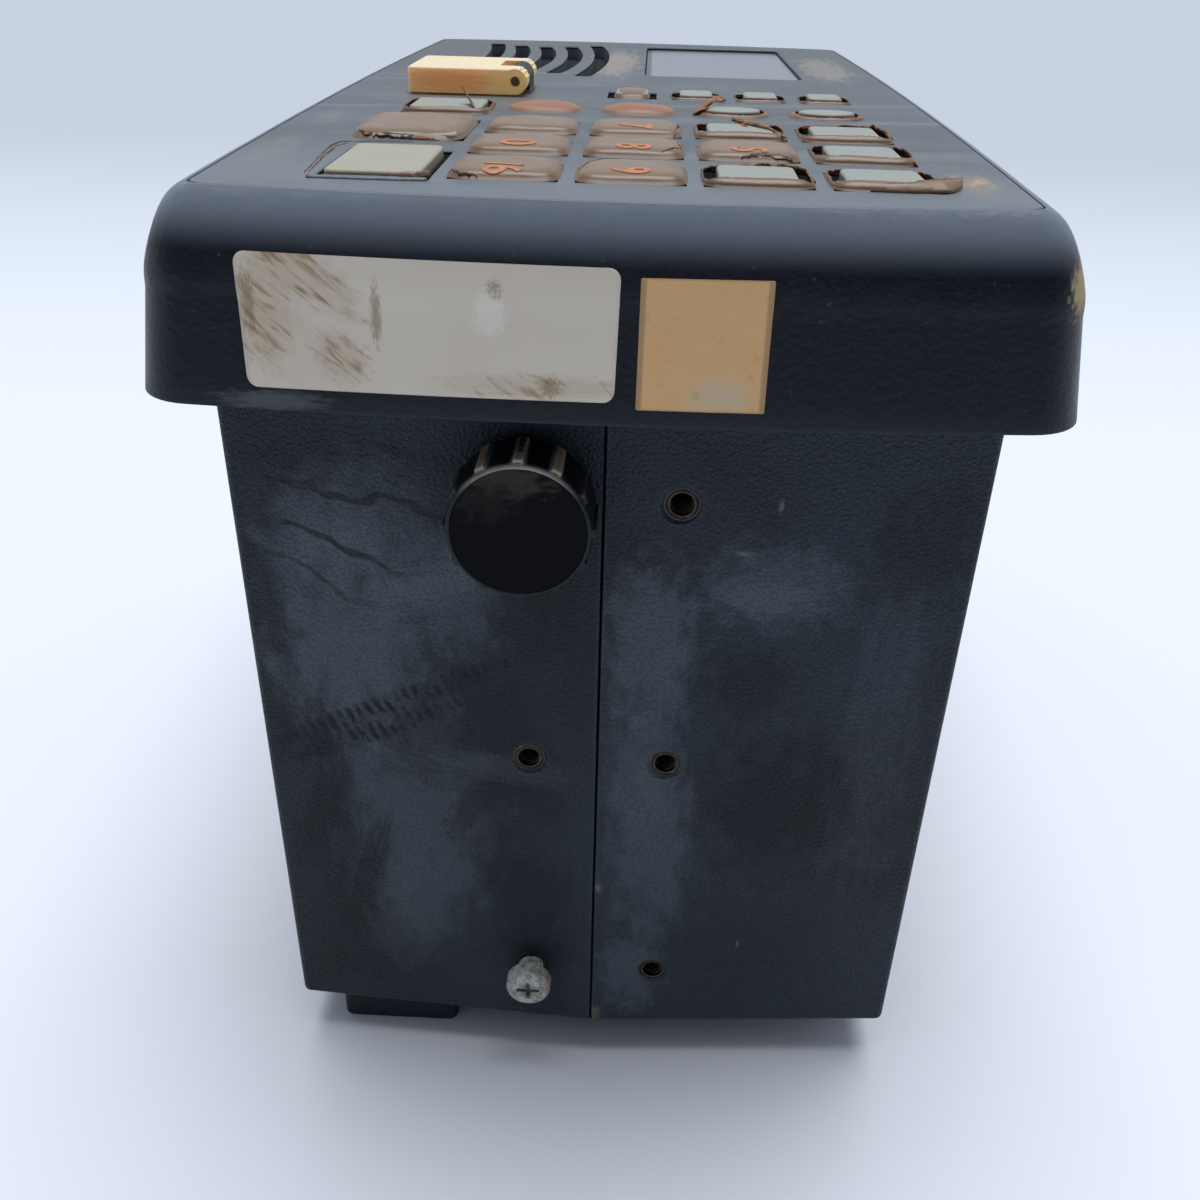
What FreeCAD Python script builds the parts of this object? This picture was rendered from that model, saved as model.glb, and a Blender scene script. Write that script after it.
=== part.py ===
import FreeCAD, Part
import Sketcher
import os
from math import atan2, cos, hypot, radians, sin, sqrt

# Fixed-mount marine radio, standing on the pieces of its rear with the front panel up.
# +Z is out of the front panel, +X is the radio's top side, -Y is its right-hand end.
# The origin is on the surface that it stands on, under the middle of the radio.

Vec = FreeCAD.Vector
doc = FreeCAD.newDocument("marine_radio")

# ---------------------------------------------------------------- driving dimensions, mm

SIZES = {
    # how far joined solids run into each other, and cutting tools run past a piece
    "bite": 0.2,
    "spare": 1.0,
    # front overlay foil: a rectangle with outward bowed edges
    "overlay_inset": 3.2,
    "overlay_overhang": 1.83,
    "overlay_bow_sides": 2.0,
    "overlay_bow_ends": 4.0,
    "overlay_corner": 2.5,
    "overlay_thick": 0.6,
    "overlay_gap": 0.35,
    # body of two half shells, with ends that slope back from the seam
    "stand_height": 11.0,
    "body_depth": 175.6,
    "body_half_width": 64.6,
    "body_half_length": 117.32,
    "body_end_fall": 4.2,
    "shell_wall": 3.0,
    "shell_edge": 1.6,
    "seam_groove": 0.35,
    "seam_groove_deep": 1.2,
    "seal_thick": 1.6,
    "seal_half": 4.0,
    "seal_reach": 27.32,
    # bezel: a hood with a rounded shoulder and a skirt that hangs over the shells
    "bezel_height": 31.1,
    "bezel_overhang_sides": 8.3,
    "bezel_overhang_ends": 8.28,
    "bezel_bow_sides": 1.5,
    "bezel_bow_ends": 3.4,
    "bezel_corner": 10.0,
    "bezel_margin": 0.75,
    "shoulder_drop": 15.5,
    "skirt_draft": 2.0,
    "skirt_wall": 3.9,
    "front_wall": 3.0,
    "rim_wall": 2.5,
    "rim_gap": 0.25,
    "rim_depth": 14.0,
    "ledge_depth": 12.0,
    "ledge_wide": 1.0,
    "gasket_thick": 1.2,
    "gasket_inset": 0.1,
    # threaded side holes, two by three on each end
    "insert_offset": 13.0,
    "insert_front_depth": 49.6,
    "insert_mid_depth": 103.9,
    "insert_rear_depth": 159.5,
    "insert_radius": 3.1,
    "insert_bore": 2.1,
    "insert_length": 10.0,
    "insert_recess": 0.4,
    "insert_sink": 0.45,
    "boss_wall": 2.4,
    "boss_setback": 1.5,
    # clamp knob and the loose screw
    "knob_radius": 11.7,
    "knob_height": 11.4,
    "knob_gap": 0.35,
    "knob_rib_wide": 1.6,
    "knob_rib_high": 0.5,
    "knob_rib_root": 1.0,
    "knob_rib_start": 1.2,
    "knob_rib_count": 12,
    "knob_bevel": 0.7,
    "knob_cap_radius": 10.9,
    "knob_cap_thick": 1.2,
    "knob_cap_inset": 0.15,
    "stud_radius": 2.03,
    "stud_reach": 14.0,
    "stud_cover": 1.0,
    "thread_slack": 0.03,
    "hole_slack": 0.2,
    "screw_stand": 3.6,
    "screw_shank": 2.45,
    "screw_head_radius": 4.6,
    "screw_head_high": 3.4,
    "screw_head_round": 1.3,
    "screw_thread_in": 9.0,
    "cross_reach": 2.4,
    "cross_half": 0.45,
    "cross_deep": 1.7,
    # keys
    "key_column_slack": 6.7,
    "key_row_pitch": 22.1,
    "key_first_column": -16.8,
    "key_near_inset": 14.17,
    "key_side_room": 7.1,
    "key_long": 11.6,
    "key_rib": 2.5,
    "key_window_long": 15.4,
    "key_rise": 1.0,
    "key_corner": 1.6,
    "key_edge": 0.5,
    "key_lap": 0.6,
    "key_flange": 1.0,
    "key_flange_thick": 1.4,
    "key_travel": 1.2,
    "pill_radius": 2.5,
    "pill_high": 0.5,
    "pill_clear": 0.1,
    "oval_side_room": 7.8,
    "oval_long": 7.4,
    "oval_rib": 4.6,
    "oval_window_long": 9.8,
    "oval_row_gap": 25.8,
    "small_side_room": 7.0,
    "small_long": 9.0,
    "small_rib": 3.3,
    "small_window_long": 11.4,
    "small_first_column": 0.8,
    "small_column_slack": 21.7,
    "small_row_gap": 25.2,
    "tall_column_shift": 7.8,
    "tall_side_room": 2.9,
    "tall_long": 24.2,
    "tall_side_inset": 47.1,
    "tall_window_long": 26.0,
    "tall_row_step": 3.6,
    "tall_pitch": 35.7,
    "short_pitch": 28.5,
    "short_long": 13.4,
    "short_window_long": 16.4,
    "mat_thick": 1.0,
    "mat_gap": 0.35,
    "mat_far_reach": 3.0,
    # hinged cover over the distress key
    "cover_side_inset": 16.2,
    "cover_step": 86.95,
    "cover_long": 24.0,
    "cover_high": 5.2,
    "cover_wall": 1.5,
    "cover_corner": 1.2,
    "cover_edge": 0.6,
    "cover_lift": 0.4,
    "cover_pin_wall": 1.0,
    "pin_x": -24.8,
    "pin_radius": 1.0,
    "pin_clearance": 0.08,
    "pin_inset": 1.2,
    "lug_half": 5.0,
    "lug_radius": 2.6,
    "lug_gap": 0.45,
    "lug_room": 1.3,
    "distress_side_inset": 51.6,
    "distress_long": 15.0,
    "distress_rise": 2.6,
    "distress_shift": 12.6,
    "distress_window_gap": 0.8,
    # display
    "display_low_x": 3.2,
    "display_side_inset": 21.1,
    "display_near_y": 31.85,
    "display_far_inset": 7.47,
    "display_corner": 2.5,
    "lens_recess": 0.7,
    "lens_gap": 0.15,
    "module_margin": 2.4,
    "module_thick": 8.0,
    # speaker slots and loudspeaker
    "slot_side_inset": 21.4,
    "slot_column_slack": 33.8,
    "slot_width": 4.4,
    "slot_bulge": 3.0,
    "slot_far_inset": 6.82,
    "slot_near_y": 26.5,
    "felt_margin": 1.0,
    "felt_thick": 0.8,
    "speaker_shift": 4.2,
    "speaker_side_inset": 37.1,
    "speaker_rim": 2.0,
    "speaker_edge": 2.5,
    "speaker_roll": 1.5,
    "speaker_neck": 9.0,
    "speaker_cone": 9.0,
    "speaker_magnet_radius": 15.0,
    "speaker_magnet": 9.0,
    # keypad board, held on pillars under the front wall
    "board_thick": 1.6,
    "keypad_side_inset": 13.0,
    "keypad_near_inset": 4.82,
    "keypad_long": 118.5,
    "pillar_radius": 2.2,
    "pillar_left_inset": 15.4,
    "pillar_pitch": 45.0,
    "pillar_right_inset": 16.4,
    "pillar_far_inset": 3.2,
    "small_screw": 1.2,
    "small_head": 2.1,
    "small_head_high": 1.6,
    "small_screw_reach": 1.8,
    # tie screws that clamp the shells to the bezel
    "tie_side_inset": 8.0,
    "tie_end_inset": 13.72,
    "tie_radius": 2.0,
    "tie_hole": 2.2,
    "tie_head": 3.7,
    "tie_head_high": 2.6,
    "tie_sink": 4.5,
    "tie_slot_half": 0.5,
    "tie_slot_deep": 1.3,
    "tie_wall": 2.0,
    "tie_end_gap": 2.0,
    "tie_boss": 5.6,
    "bezel_boss": 3.5,
    # heat sink on the rear
    "sink_low_x": -24.0,
    "sink_side_inset": 13.6,
    "sink_bay_gap": 9.0,
    "sink_far_inset": 12.32,
    "sink_lap": 4.0,
    "sink_base": 3.0,
    "sink_pad_gap": 0.3,
    "fin_thick": 2.2,
    "fin_count": 20,
    "fin_root": 0.4,
    # recessed connector bay
    "bay_wide": 70.0,
    "bay_side_inset": 16.6,
    "bay_near_inset": 11.32,
    "bay_long": 37.0,
    "bay_depth": 17.0,
    "bay_wall": 1.5,
    "bay_lap": 2.0,
    "bay_gap": 0.2,
    "aerial_radius": 7.94,
    "aerial_reach": 17.0,
    "aerial_flange": 11.0,
    "aerial_thick": 2.0,
    "aerial_bore": 5.5,
    "aerial_floor": 5.0,
    "aerial_pin_inset": 2.0,
    "aerial_pin": 1.9,
    "aerial_inset": 13.0,
    "aerial_pitch": 26.0,
    "power_inset": 11.0,
    "power_radius": 8.5,
    "power_wall": 1.3,
    "power_reach": 13.0,
    "power_pin_long": 8.0,
    "power_pin_ring": 4.0,
    "power_pin_radius": 0.9,
    "power_floor": 2.0,
    # terminal cover along the lower side of the rear
    "terminal_side_inset": 7.6,
    "terminal_high_x": -31.0,
    "terminal_end_inset": 7.67,
    "terminal_wall": 2.0,
    "terminal_corner": 2.0,
    "terminal_edge": 0.8,
    "terminal_slot_long": 20.0,
    "terminal_slot_high": 6.0,
    "terminal_slot_pitch": 56.0,
    "terminal_post": 4.2,
    "feed_radius": 4.0,
    "terminal_screw": 1.53,
    "terminal_head": 2.9,
    "terminal_head_high": 1.9,
    "terminal_sink": 2.6,
    "terminal_screw_in": 26.0,
    "strip_end_inset": 35.65,
    "strip_wide": 12.0,
    "strip_high": 6.0,
    "strip_long": 60.0,
    "strip_well": 3.0,
    "strip_well_deep": 2.0,
    "strip_well_count": 6,
    # inner boards and frame
    "frame_thick": 2.0,
    "frame_leg": 46.0,
    "frame_lip": 8.0,
    "frame_board_gap": 2.0,
    "standoff_high": 8.0,
    "standoff_radius": 3.0,
    "can_high": 18.0,
    "can_wall": 0.6,
    "can_margin": 6.0,
    "chip_high": 3.0,
    "capacitor_high": 9.0,
    "filter_high": 12.0,
    "main_low_inset": 14.6,
    "main_high_inset": 11.6,
    "ribbon_inset": 3.0,
    "ribbon_shift": 40.0,
    "ribbon_wide": 30.0,
    "ribbon_thick": 0.8,
}

# lengths that follow from the driving ones, so that the pieces keep together
DERIVED = {
    "overlay_half_width": "body_half_width - overlay_inset",
    "overlay_half_length": "body_half_length + overlay_overhang",
    "bezel_half_width": "body_half_width + bezel_overhang_sides",
    "bezel_half_length": "body_half_length + bezel_overhang_ends",
    "tie_x": "body_half_width - tie_side_inset",
    "tie_y": "body_half_length - tie_end_inset",
    "seal_from": "body_half_length - seal_reach",
    "key_pitch": "(body_half_width - key_column_slack) / 3",
    "key_wide": "key_pitch - key_side_room",
    "key_window_wide": "key_pitch - key_rib",
    "key_first_row": "key_near_inset - body_half_length",
    "oval_wide": "key_pitch - oval_side_room",
    "oval_window_wide": "key_pitch - oval_rib",
    "small_pitch": "(body_half_width - small_column_slack) / 3",
    "small_wide": "small_pitch - small_side_room",
    "small_window_wide": "small_pitch - small_rib",
    "tall_column": "0 - (body_half_width + tall_column_shift) / 2",
    "tall_window_wide": "body_half_width - tall_side_inset",
    "tall_wide": "tall_window_wide - tall_side_room",
    "tall_row": "key_first_row + tall_row_step",
    "cover_low_x": "cover_side_inset - body_half_width",
    "cover_near_y": "key_first_row + cover_step",
    "distress_x": "0 - (body_half_width + distress_shift) / 2",
    "distress_wide": "body_half_width - distress_side_inset",
    "display_wide": "body_half_width - display_side_inset - display_low_x",
    "display_long": "body_half_length - display_far_inset - display_near_y",
    "slot_first_x": "slot_side_inset - body_half_width",
    "slot_pitch": "(body_half_width - slot_column_slack) / 4",
    "slot_long": "body_half_length - slot_far_inset - slot_near_y",
    "slot_middle_y": "slot_near_y + slot_long / 2",
    "speaker_x": "0 - (body_half_width - speaker_shift) / 2",
    "speaker_radius": "body_half_width - speaker_side_inset",
    "keypad_half_width": "body_half_width - keypad_side_inset",
    "keypad_near_y": "keypad_near_inset - body_half_length",
    "keypad_far_y": "keypad_near_y + keypad_long",
    "pillar_left_x": "pillar_left_inset - body_half_width",
    "pillar_high_x": "body_half_width - pillar_right_inset",
    "pillar_low_x": "pillar_high_x - pillar_pitch",
    "pillar_far_y": "keypad_far_y - pillar_far_inset",
    "bay_high_x": "body_half_width - bay_side_inset",
    "bay_low_x": "bay_high_x - bay_wide",
    "bay_near_y": "bay_near_inset - body_half_length",
    "bay_far_y": "bay_near_y + bay_long",
    "aerial_first_x": "bay_low_x + aerial_inset",
    "power_x": "bay_high_x - power_inset",
    "sink_high_x": "body_half_width - sink_side_inset",
    "sink_near_y": "bay_far_y + sink_bay_gap",
    "sink_far_y": "body_half_length - sink_far_inset",
    "terminal_low_x": "terminal_side_inset - body_half_width",
    "terminal_half_length": "body_half_length - terminal_end_inset",
    "main_low_x": "main_low_inset - body_half_width",
    "main_high_x": "body_half_width - main_high_inset",
    "ribbon_x": "main_low_x + ribbon_inset",
    "ribbon_far_y": "sink_near_y + ribbon_shift",
    "strip_near_y": "terminal_half_length - strip_end_inset - strip_long",
}

sheet = doc.addObject("Spreadsheet::Sheet", "sizes")
for row, (alias, value) in enumerate(SIZES.items(), start=1):
    sheet.set(f"A{row}", alias)
    sheet.set(f"B{row}", str(value))
    sheet.setAlias(f"B{row}", alias)
doc.recompute()


def cell(text):
    """Turns bare aliases in a formula into references to the sheet, and works derived ones out."""
    words = []
    word = ""
    for letter in text + " ":
        if letter.isalnum() or letter == "_":
            word += letter
            continue
        if word in DERIVED:
            word = f"({cell(DERIVED[word])})"
        words.append(f"sizes.{word}" if word in SIZES else word)
        words.append(letter)
        word = ""
    return "".join(words).strip()


def size(text):
    """The number that a formula of aliases comes to."""
    return float(sheet.evalExpression(cell(text)))


# heights that many pieces share, as formulas
FRONT = "(stand_height + body_depth)"
BENEATH = f"({FRONT} - overlay_thick - front_wall)"
REAR = "stand_height"
REAR_INNER = "(stand_height + shell_wall)"
SHELL_TOP = f"({FRONT} - ledge_depth - gasket_thick)"
BOARD_TOP = f"({BENEATH} - key_flange_thick - pill_high - key_travel - pill_clear)"
BOARD_LOW = f"({BOARD_TOP} - board_thick)"
PLATE_TOP = f"({REAR_INNER} + frame_thick)"
RADIO_LOW = f"({PLATE_TOP} + standoff_high)"
RADIO_TOP = f"({RADIO_LOW} + board_thick)"
LEG_TOP = f"({REAR_INNER} + frame_leg)"
MAIN_TOP = f"({LEG_TOP} + board_thick)"
LEDGE = f"({FRONT} - ledge_depth)"
PIN_Z = f"({FRONT} + cover_lift + cover_high / 2)"
COVER_MIDDLE = "(cover_near_y + cover_long / 2)"

# signs of the four corners, in X and Y
CORNERS = ((-1, -1), (1, -1), (-1, 1), (1, 1))

parts = {}


# ---------------------------------------------------------------- ways of making solids

def keep(item, node):
    """Makes an object a sub-part of the radio under its node name."""
    item.Label = node
    parts[node] = item
    return item


def block(name, x, y, z):
    """A box between two formulas on each axis."""
    box = doc.addObject("Part::Box", name)
    for side, axis, (low, high) in zip(("Length", "Width", "Height"), "xyz", (x, y, z)):
        box.setExpression(side, cell(f"({high}) - ({low})"))
        box.setExpression(f"Placement.Base.{axis}", cell(low))
    return box


TURNS = {
    "x": FreeCAD.Rotation(Vec(0, 1, 0), 90),
    "y": FreeCAD.Rotation(Vec(1, 0, 0), -90),
    "z": FreeCAD.Rotation(),
}


def round_bar(name, axis, centre, radius, low, high, top_radius=None):
    """A cylinder or cone along an axis; centre holds the two other coordinates."""
    kind = "Part::Cylinder" if top_radius is None else "Part::Cone"
    bar = doc.addObject(kind, name)
    bar.Placement = FreeCAD.Placement(Vec(), TURNS[axis])
    if top_radius is None:
        bar.setExpression("Radius", cell(radius))
    else:
        bar.setExpression("Radius1", cell(radius))
        bar.setExpression("Radius2", cell(top_radius))
    bar.setExpression("Height", cell(f"({high}) - ({low})"))
    others = [letter for letter in "xyz" if letter != axis]
    for letter, place in zip(others, centre):
        bar.setExpression(f"Placement.Base.{letter}", cell(place))
    bar.setExpression(f"Placement.Base.{axis}", cell(low))
    return bar


def join(name, shapes):
    """One solid out of several that touch."""
    whole = doc.addObject("Part::MultiFuse", name)
    whole.Shapes = shapes
    whole.Refine = True
    return whole


def group(name, shapes):
    """Separate solids that share a node."""
    whole = doc.addObject("Part::Compound", name)
    whole.Links = shapes
    return whole


def cut(name, base, tools):
    """The base without the tools."""
    whole = doc.addObject("Part::Cut", name)
    whole.Base = base
    whole.Tool = tools[0] if len(tools) == 1 else group(f"{name}_tools", tools)
    return whole


def soften(name, base, radius, chosen):
    """Rounds the edges that the test picks."""
    doc.recompute()
    fillet = doc.addObject("Part::Fillet", name)
    fillet.Base = base
    amount = size(radius)
    edges = enumerate(base.Shape.Edges, start=1)
    fillet.Edges = [(number, amount, amount) for number, edge in edges if chosen(edge)]
    return fillet


def is_upright(edge):
    """An edge that runs along Z."""
    ends = edge.Vertexes
    if len(ends) < 2:
        return False
    step = ends[0].Point - ends[1].Point
    return hypot(step.x, step.y) < 1e-6 < abs(step.z)


def at_height(formula):
    """A test for edges that lie flat at a height."""
    level = size(formula)

    def chosen(edge):
        box = edge.BoundBox
        return abs(box.ZMin - level) < 1e-4 and abs(box.ZMax - level) < 1e-4

    return chosen


def outline(name, wire):
    """A flat profile held as a face in the document."""
    profile = doc.addObject("Part::Feature", name)
    profile.Shape = Part.Face(wire)
    return profile


def extrude(name, profile, height):
    """Lifts a flat profile along +Z by a formula."""
    solid = doc.addObject("Part::Extrusion", name)
    solid.Base = profile
    solid.DirMode = "Custom"
    solid.Dir = Vec(0, 0, 1)
    solid.Solid = True
    solid.setExpression("LengthFwd", cell(height))
    return solid


def line_wire(points):
    """A closed wire of straight runs."""
    return Part.makePolygon([*points, points[0]])


def bowed_wire(half_x, half_y, bow_x, bow_y, corner, level):
    """A rectangle with outward bowed sides, whose corners are arcs tangent to them."""
    radius_x = (half_y**2 + bow_x**2) / (2 * bow_x)
    radius_y = (half_x**2 + bow_y**2) / (2 * bow_y)
    centre_x = half_x + bow_x - radius_x
    centre_y = half_y + bow_y - radius_y
    # the corner's centre lies on both side circles drawn in by the corner radius
    reach_x = radius_x - corner
    reach_y = radius_y - corner
    apart = hypot(centre_x, centre_y)
    along = (apart**2 + reach_x**2 - reach_y**2) / (2 * apart)
    rise = sqrt(reach_x**2 - along**2)
    step_x = -centre_x / apart
    step_y = centre_y / apart
    places = [(centre_x + along * step_x + side * rise * step_y,
               along * step_y - side * rise * step_x) for side in (-1, 1)]
    mid_x, mid_y = max(places, key=lambda place: place[0] + place[1])
    side_turn = atan2(mid_y, mid_x - centre_x)
    end_turn = atan2(mid_y - centre_y, mid_x)
    half_turn = (side_turn + end_turn) / 2
    on_side = (centre_x + radius_x * cos(side_turn), radius_x * sin(side_turn))
    on_end = (radius_y * cos(end_turn), centre_y + radius_y * sin(end_turn))
    bend = (mid_x + corner * cos(half_turn), mid_y + corner * sin(half_turn))
    arcs = []
    for sign_x, sign_y in ((1, 1), (-1, 1), (-1, -1), (1, -1)):
        start, through, stop = (Vec(sign_x * x, sign_y * y, level) for x, y in (on_side, bend, on_end))
        arcs.append(Part.Arc(start, through, stop).toShape())
    for sign_x in (1, -1):
        low = Vec(sign_x * on_side[0], -on_side[1], level)
        high = Vec(sign_x * on_side[0], on_side[1], level)
        arcs.append(Part.Arc(low, Vec(sign_x * (half_x + bow_x), 0, level), high).toShape())
    for sign_y in (1, -1):
        low = Vec(-on_end[0], sign_y * on_end[1], level)
        high = Vec(on_end[0], sign_y * on_end[1], level)
        arcs.append(Part.Arc(low, Vec(0, sign_y * (half_y + bow_y), level), high).toShape())
    return Part.Wire(Part.__sortEdges__(arcs))


def overlay_wire(grow, level):
    """The overlay's outline, grown by a distance."""
    return bowed_wire(size("overlay_half_width") + grow, size("overlay_half_length") + grow,
                      size("overlay_bow_sides"), size("overlay_bow_ends"),
                      size("overlay_corner") + grow, level)


def body_points(grow, level):
    """Corners of the body's plan: the seam's two ends and the four outer corners."""
    half_width = size("body_half_width") + grow
    at_seam = size("body_half_length") + grow
    at_side = at_seam - size("body_end_fall")
    plan = ((0, -at_seam), (half_width, -at_side), (half_width, at_side),
            (0, at_seam), (-half_width, at_side), (-half_width, -at_side))
    return [Vec(x, y, level) for x, y in plan]


def body_prism(name, grow, low, high):
    """The body's plan grown by a formula, between two heights."""
    profile = outline(f"{name}_plan", line_wire(body_points(size(grow), size(low))))
    return extrude(name, profile, f"({high}) - ({low})")


# ---------------------------------------------------------------- places of the keys

# what a key's solid, window and place are: name, centre x, centre y, cap, window, rise, shape
KEYS = []
for column in range(4):
    for line in range(3):
        x = f"(key_first_column + {column} * key_pitch)"
        y = f"(key_first_row + {line} * key_row_pitch)"
        KEYS.append((f"square_key_{column + 1}_{line + 1}", x, y, ("key_wide", "key_long"),
                     ("key_window_wide", "key_window_long"), "key_rise", "square"))
    y = "(key_first_row + 2 * key_row_pitch + oval_row_gap)"
    KEYS.append((f"oval_key_{column + 1}", x, y, ("oval_wide", "oval_long"),
                 ("oval_window_wide", "oval_window_long"), "key_rise", "oval"))
for column in range(4):
    x = f"(small_first_column + {column} * small_pitch)"
    y = "(key_first_row + 2 * key_row_pitch + oval_row_gap + small_row_gap)"
    KEYS.append((f"small_key_{column + 1}", x, y, ("small_wide", "small_long"),
                 ("small_window_wide", "small_window_long"), "key_rise", "square"))
for line in range(2):
    y = f"(tall_row + {line} * tall_pitch)"
    KEYS.append((f"tall_key_{line + 1}", "tall_column", y, ("tall_wide", "tall_long"),
                 ("tall_window_wide", "tall_window_long"), "key_rise", "square"))
KEYS.append(("short_key", "tall_column", "(tall_row + tall_pitch + short_pitch)",
             ("tall_wide", "short_long"), ("tall_window_wide", "short_window_long"),
             "key_rise", "square"))
KEYS.append(("distress_key", "distress_x", COVER_MIDDLE,
             ("distress_wide", "distress_long"),
             ("distress_wide + 2 * distress_window_gap", "distress_long + 2 * distress_window_gap"),
             "distress_rise", "square"))


def slab(name, x, y, extent, low, high, shape):
    """A square-cornered or oval slab about a point, between two heights."""
    wide, long = extent
    if shape == "oval":
        ring = doc.addObject("Part::Ellipse", f"{name}_ring")
        ring.setExpression("MajorRadius", cell(f"({wide}) / 2"))
        ring.setExpression("MinorRadius", cell(f"({long}) / 2"))
        ring.setExpression("Placement.Base.x", cell(x))
        ring.setExpression("Placement.Base.y", cell(y))
        ring.setExpression("Placement.Base.z", cell(low))
        return extrude(name, ring, f"({high}) - ({low})")
    return block(name, (f"{x} - ({wide}) / 2", f"{x} + ({wide}) / 2"),
                 (f"{y} - ({long}) / 2", f"{y} + ({long}) / 2"), (low, high))


def windows(prefix, low, high):
    """Tools that open a window for every key between two heights."""
    tools = []
    for node, x, y, cap, window, rise, shape in KEYS:
        tools.append(slab(f"{prefix}_{node}", x, y, window, low, high, shape))
    return tools


# pillars for the keypad board: four between the square keys, one at the left, two beyond them
PILLARS = [(f"(key_first_column + {column} * key_pitch)", f"(key_first_row + {line} * key_row_pitch)")
           for column in (0.5, 2.5) for line in (0.5, 2.5)]
PILLARS += [("pillar_left_x", "(tall_row + tall_pitch / 2)"),
            ("pillar_high_x", "pillar_far_y"),
            ("pillar_low_x", "pillar_far_y")]


def key_foot(cap, window, margin="0"):
    """Wide and long of a key's flange, which laps under its window's near and far edges."""
    return (f"{cap[0]} + 2 * (key_flange + {margin})", f"{window[1]} + 2 * (key_lap + {margin})")


# ---------------------------------------------------------------- display and speaker places

DISPLAY_X = ("display_low_x", "(display_low_x + display_wide)")
DISPLAY_Y = ("display_near_y", "(display_near_y + display_long)")


def grown(pair, amount):
    """A pair of formulas moved apart."""
    return (f"({pair[0]} - ({amount}))", f"({pair[1]} + ({amount}))")


def rounded_block(name, x, y, z, corner):
    """A box with rounded upright edges."""
    return soften(name, block(f"{name}_box", x, y, z), corner, is_upright)


# how much shorter than the longest each speaker slot is, from the lowest X up
SLOT_SHORTER = (2, 10, 14, 10, 0)


def slot_wire(x, y, length, bulge, width, level):
    """A curved slot that bulges towards +X, with round ends."""
    points = []
    half = length / 2
    for side in (width / 2, -width / 2):
        points.append([Vec(x + side, y - half, level), Vec(x + bulge + side, y, level),
                       Vec(x + side, y + half, level)])
    outer, inner = points
    arcs = [Part.Arc(*outer).toShape(), Part.Arc(*inner).toShape()]
    for end, sign in ((0, -1), (2, 1)):
        tip = Vec(x, y + sign * (half + width / 2), level)
        arcs.append(Part.Arc(outer[end], tip, inner[end]).toShape())
    return Part.Wire(Part.__sortEdges__(arcs))


def slots(prefix, low, high):
    """Tools for the speaker slots, shorter towards both sides of the group."""
    tools = []
    for number, shorter in enumerate(SLOT_SHORTER):
        x = size("slot_first_x") + number * size("slot_pitch")
        length = size("slot_long") - shorter
        wire = slot_wire(x, size("slot_middle_y"), length - size("slot_width"),
                         size("slot_bulge"), size("slot_width"), size(low))
        profile = outline(f"{prefix}_profile_{number + 1}", wire)
        tools.append(extrude(f"{prefix}_{number + 1}", profile, f"({high}) - ({low})"))
    return tools


# ---------------------------------------------------------------- bezel

# how round the shoulder is: 1 would be a plain chamfer and 2 a quarter of an ellipse
SHOULDER_ROUND = 1.55


def bezel_wire(share, level):
    """The bezel's outline at a share of the shoulder's fall, from 0 in front to 1 at its foot."""
    curve = (1 - (1 - share)**SHOULDER_ROUND)**(1 / SHOULDER_ROUND)
    front = (size("overlay_half_width") + size("bezel_margin"),
             size("overlay_half_length") + size("bezel_margin"),
             size("overlay_bow_sides"), size("overlay_bow_ends"),
             size("overlay_corner") + size("bezel_margin"))
    draft = size("skirt_draft")
    foot = (size("bezel_half_width") - draft, size("bezel_half_length") - draft,
            size("bezel_bow_sides"), size("bezel_bow_ends"), size("bezel_corner"))
    mixed = [near + (far - near) * curve for near, far in zip(front, foot)]
    return bowed_wire(*mixed, level)


def tie_centres():
    """Centres of the four tie screws, as formulas."""
    return [(f"{sign_x} * tie_x", f"{sign_y} * tie_y") for sign_x, sign_y in CORNERS]


def rear_wire(grow, level):
    """The bezel's outline at its rear edge, grown by a distance."""
    return bowed_wire(size("bezel_half_width") + grow, size("bezel_half_length") + grow,
                      size("bezel_bow_sides"), size("bezel_bow_ends"),
                      size("bezel_corner") + grow, level)


# heights of the shoulder's sections, as shares of its fall
SHOULDER_SHARES = (1, 0.6, 0.3, 0.1, 0)


def bezel_hood():
    """The hood's outside: a drafted skirt below a rounded shoulder."""
    front = size(FRONT)
    drop = size("shoulder_drop")
    rear_edge = rear_wire(0, front - size("bezel_height"))
    shoulder = [bezel_wire(share, front - drop * share) for share in SHOULDER_SHARES]
    skirt = Part.makeLoft([rear_edge, shoulder[0]], True, True)
    hood = doc.addObject("Part::Feature", "bezel_hood")
    hood.Shape = skirt.fuse(Part.makeLoft(shoulder, True, False)).removeSplitter()
    return hood


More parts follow.
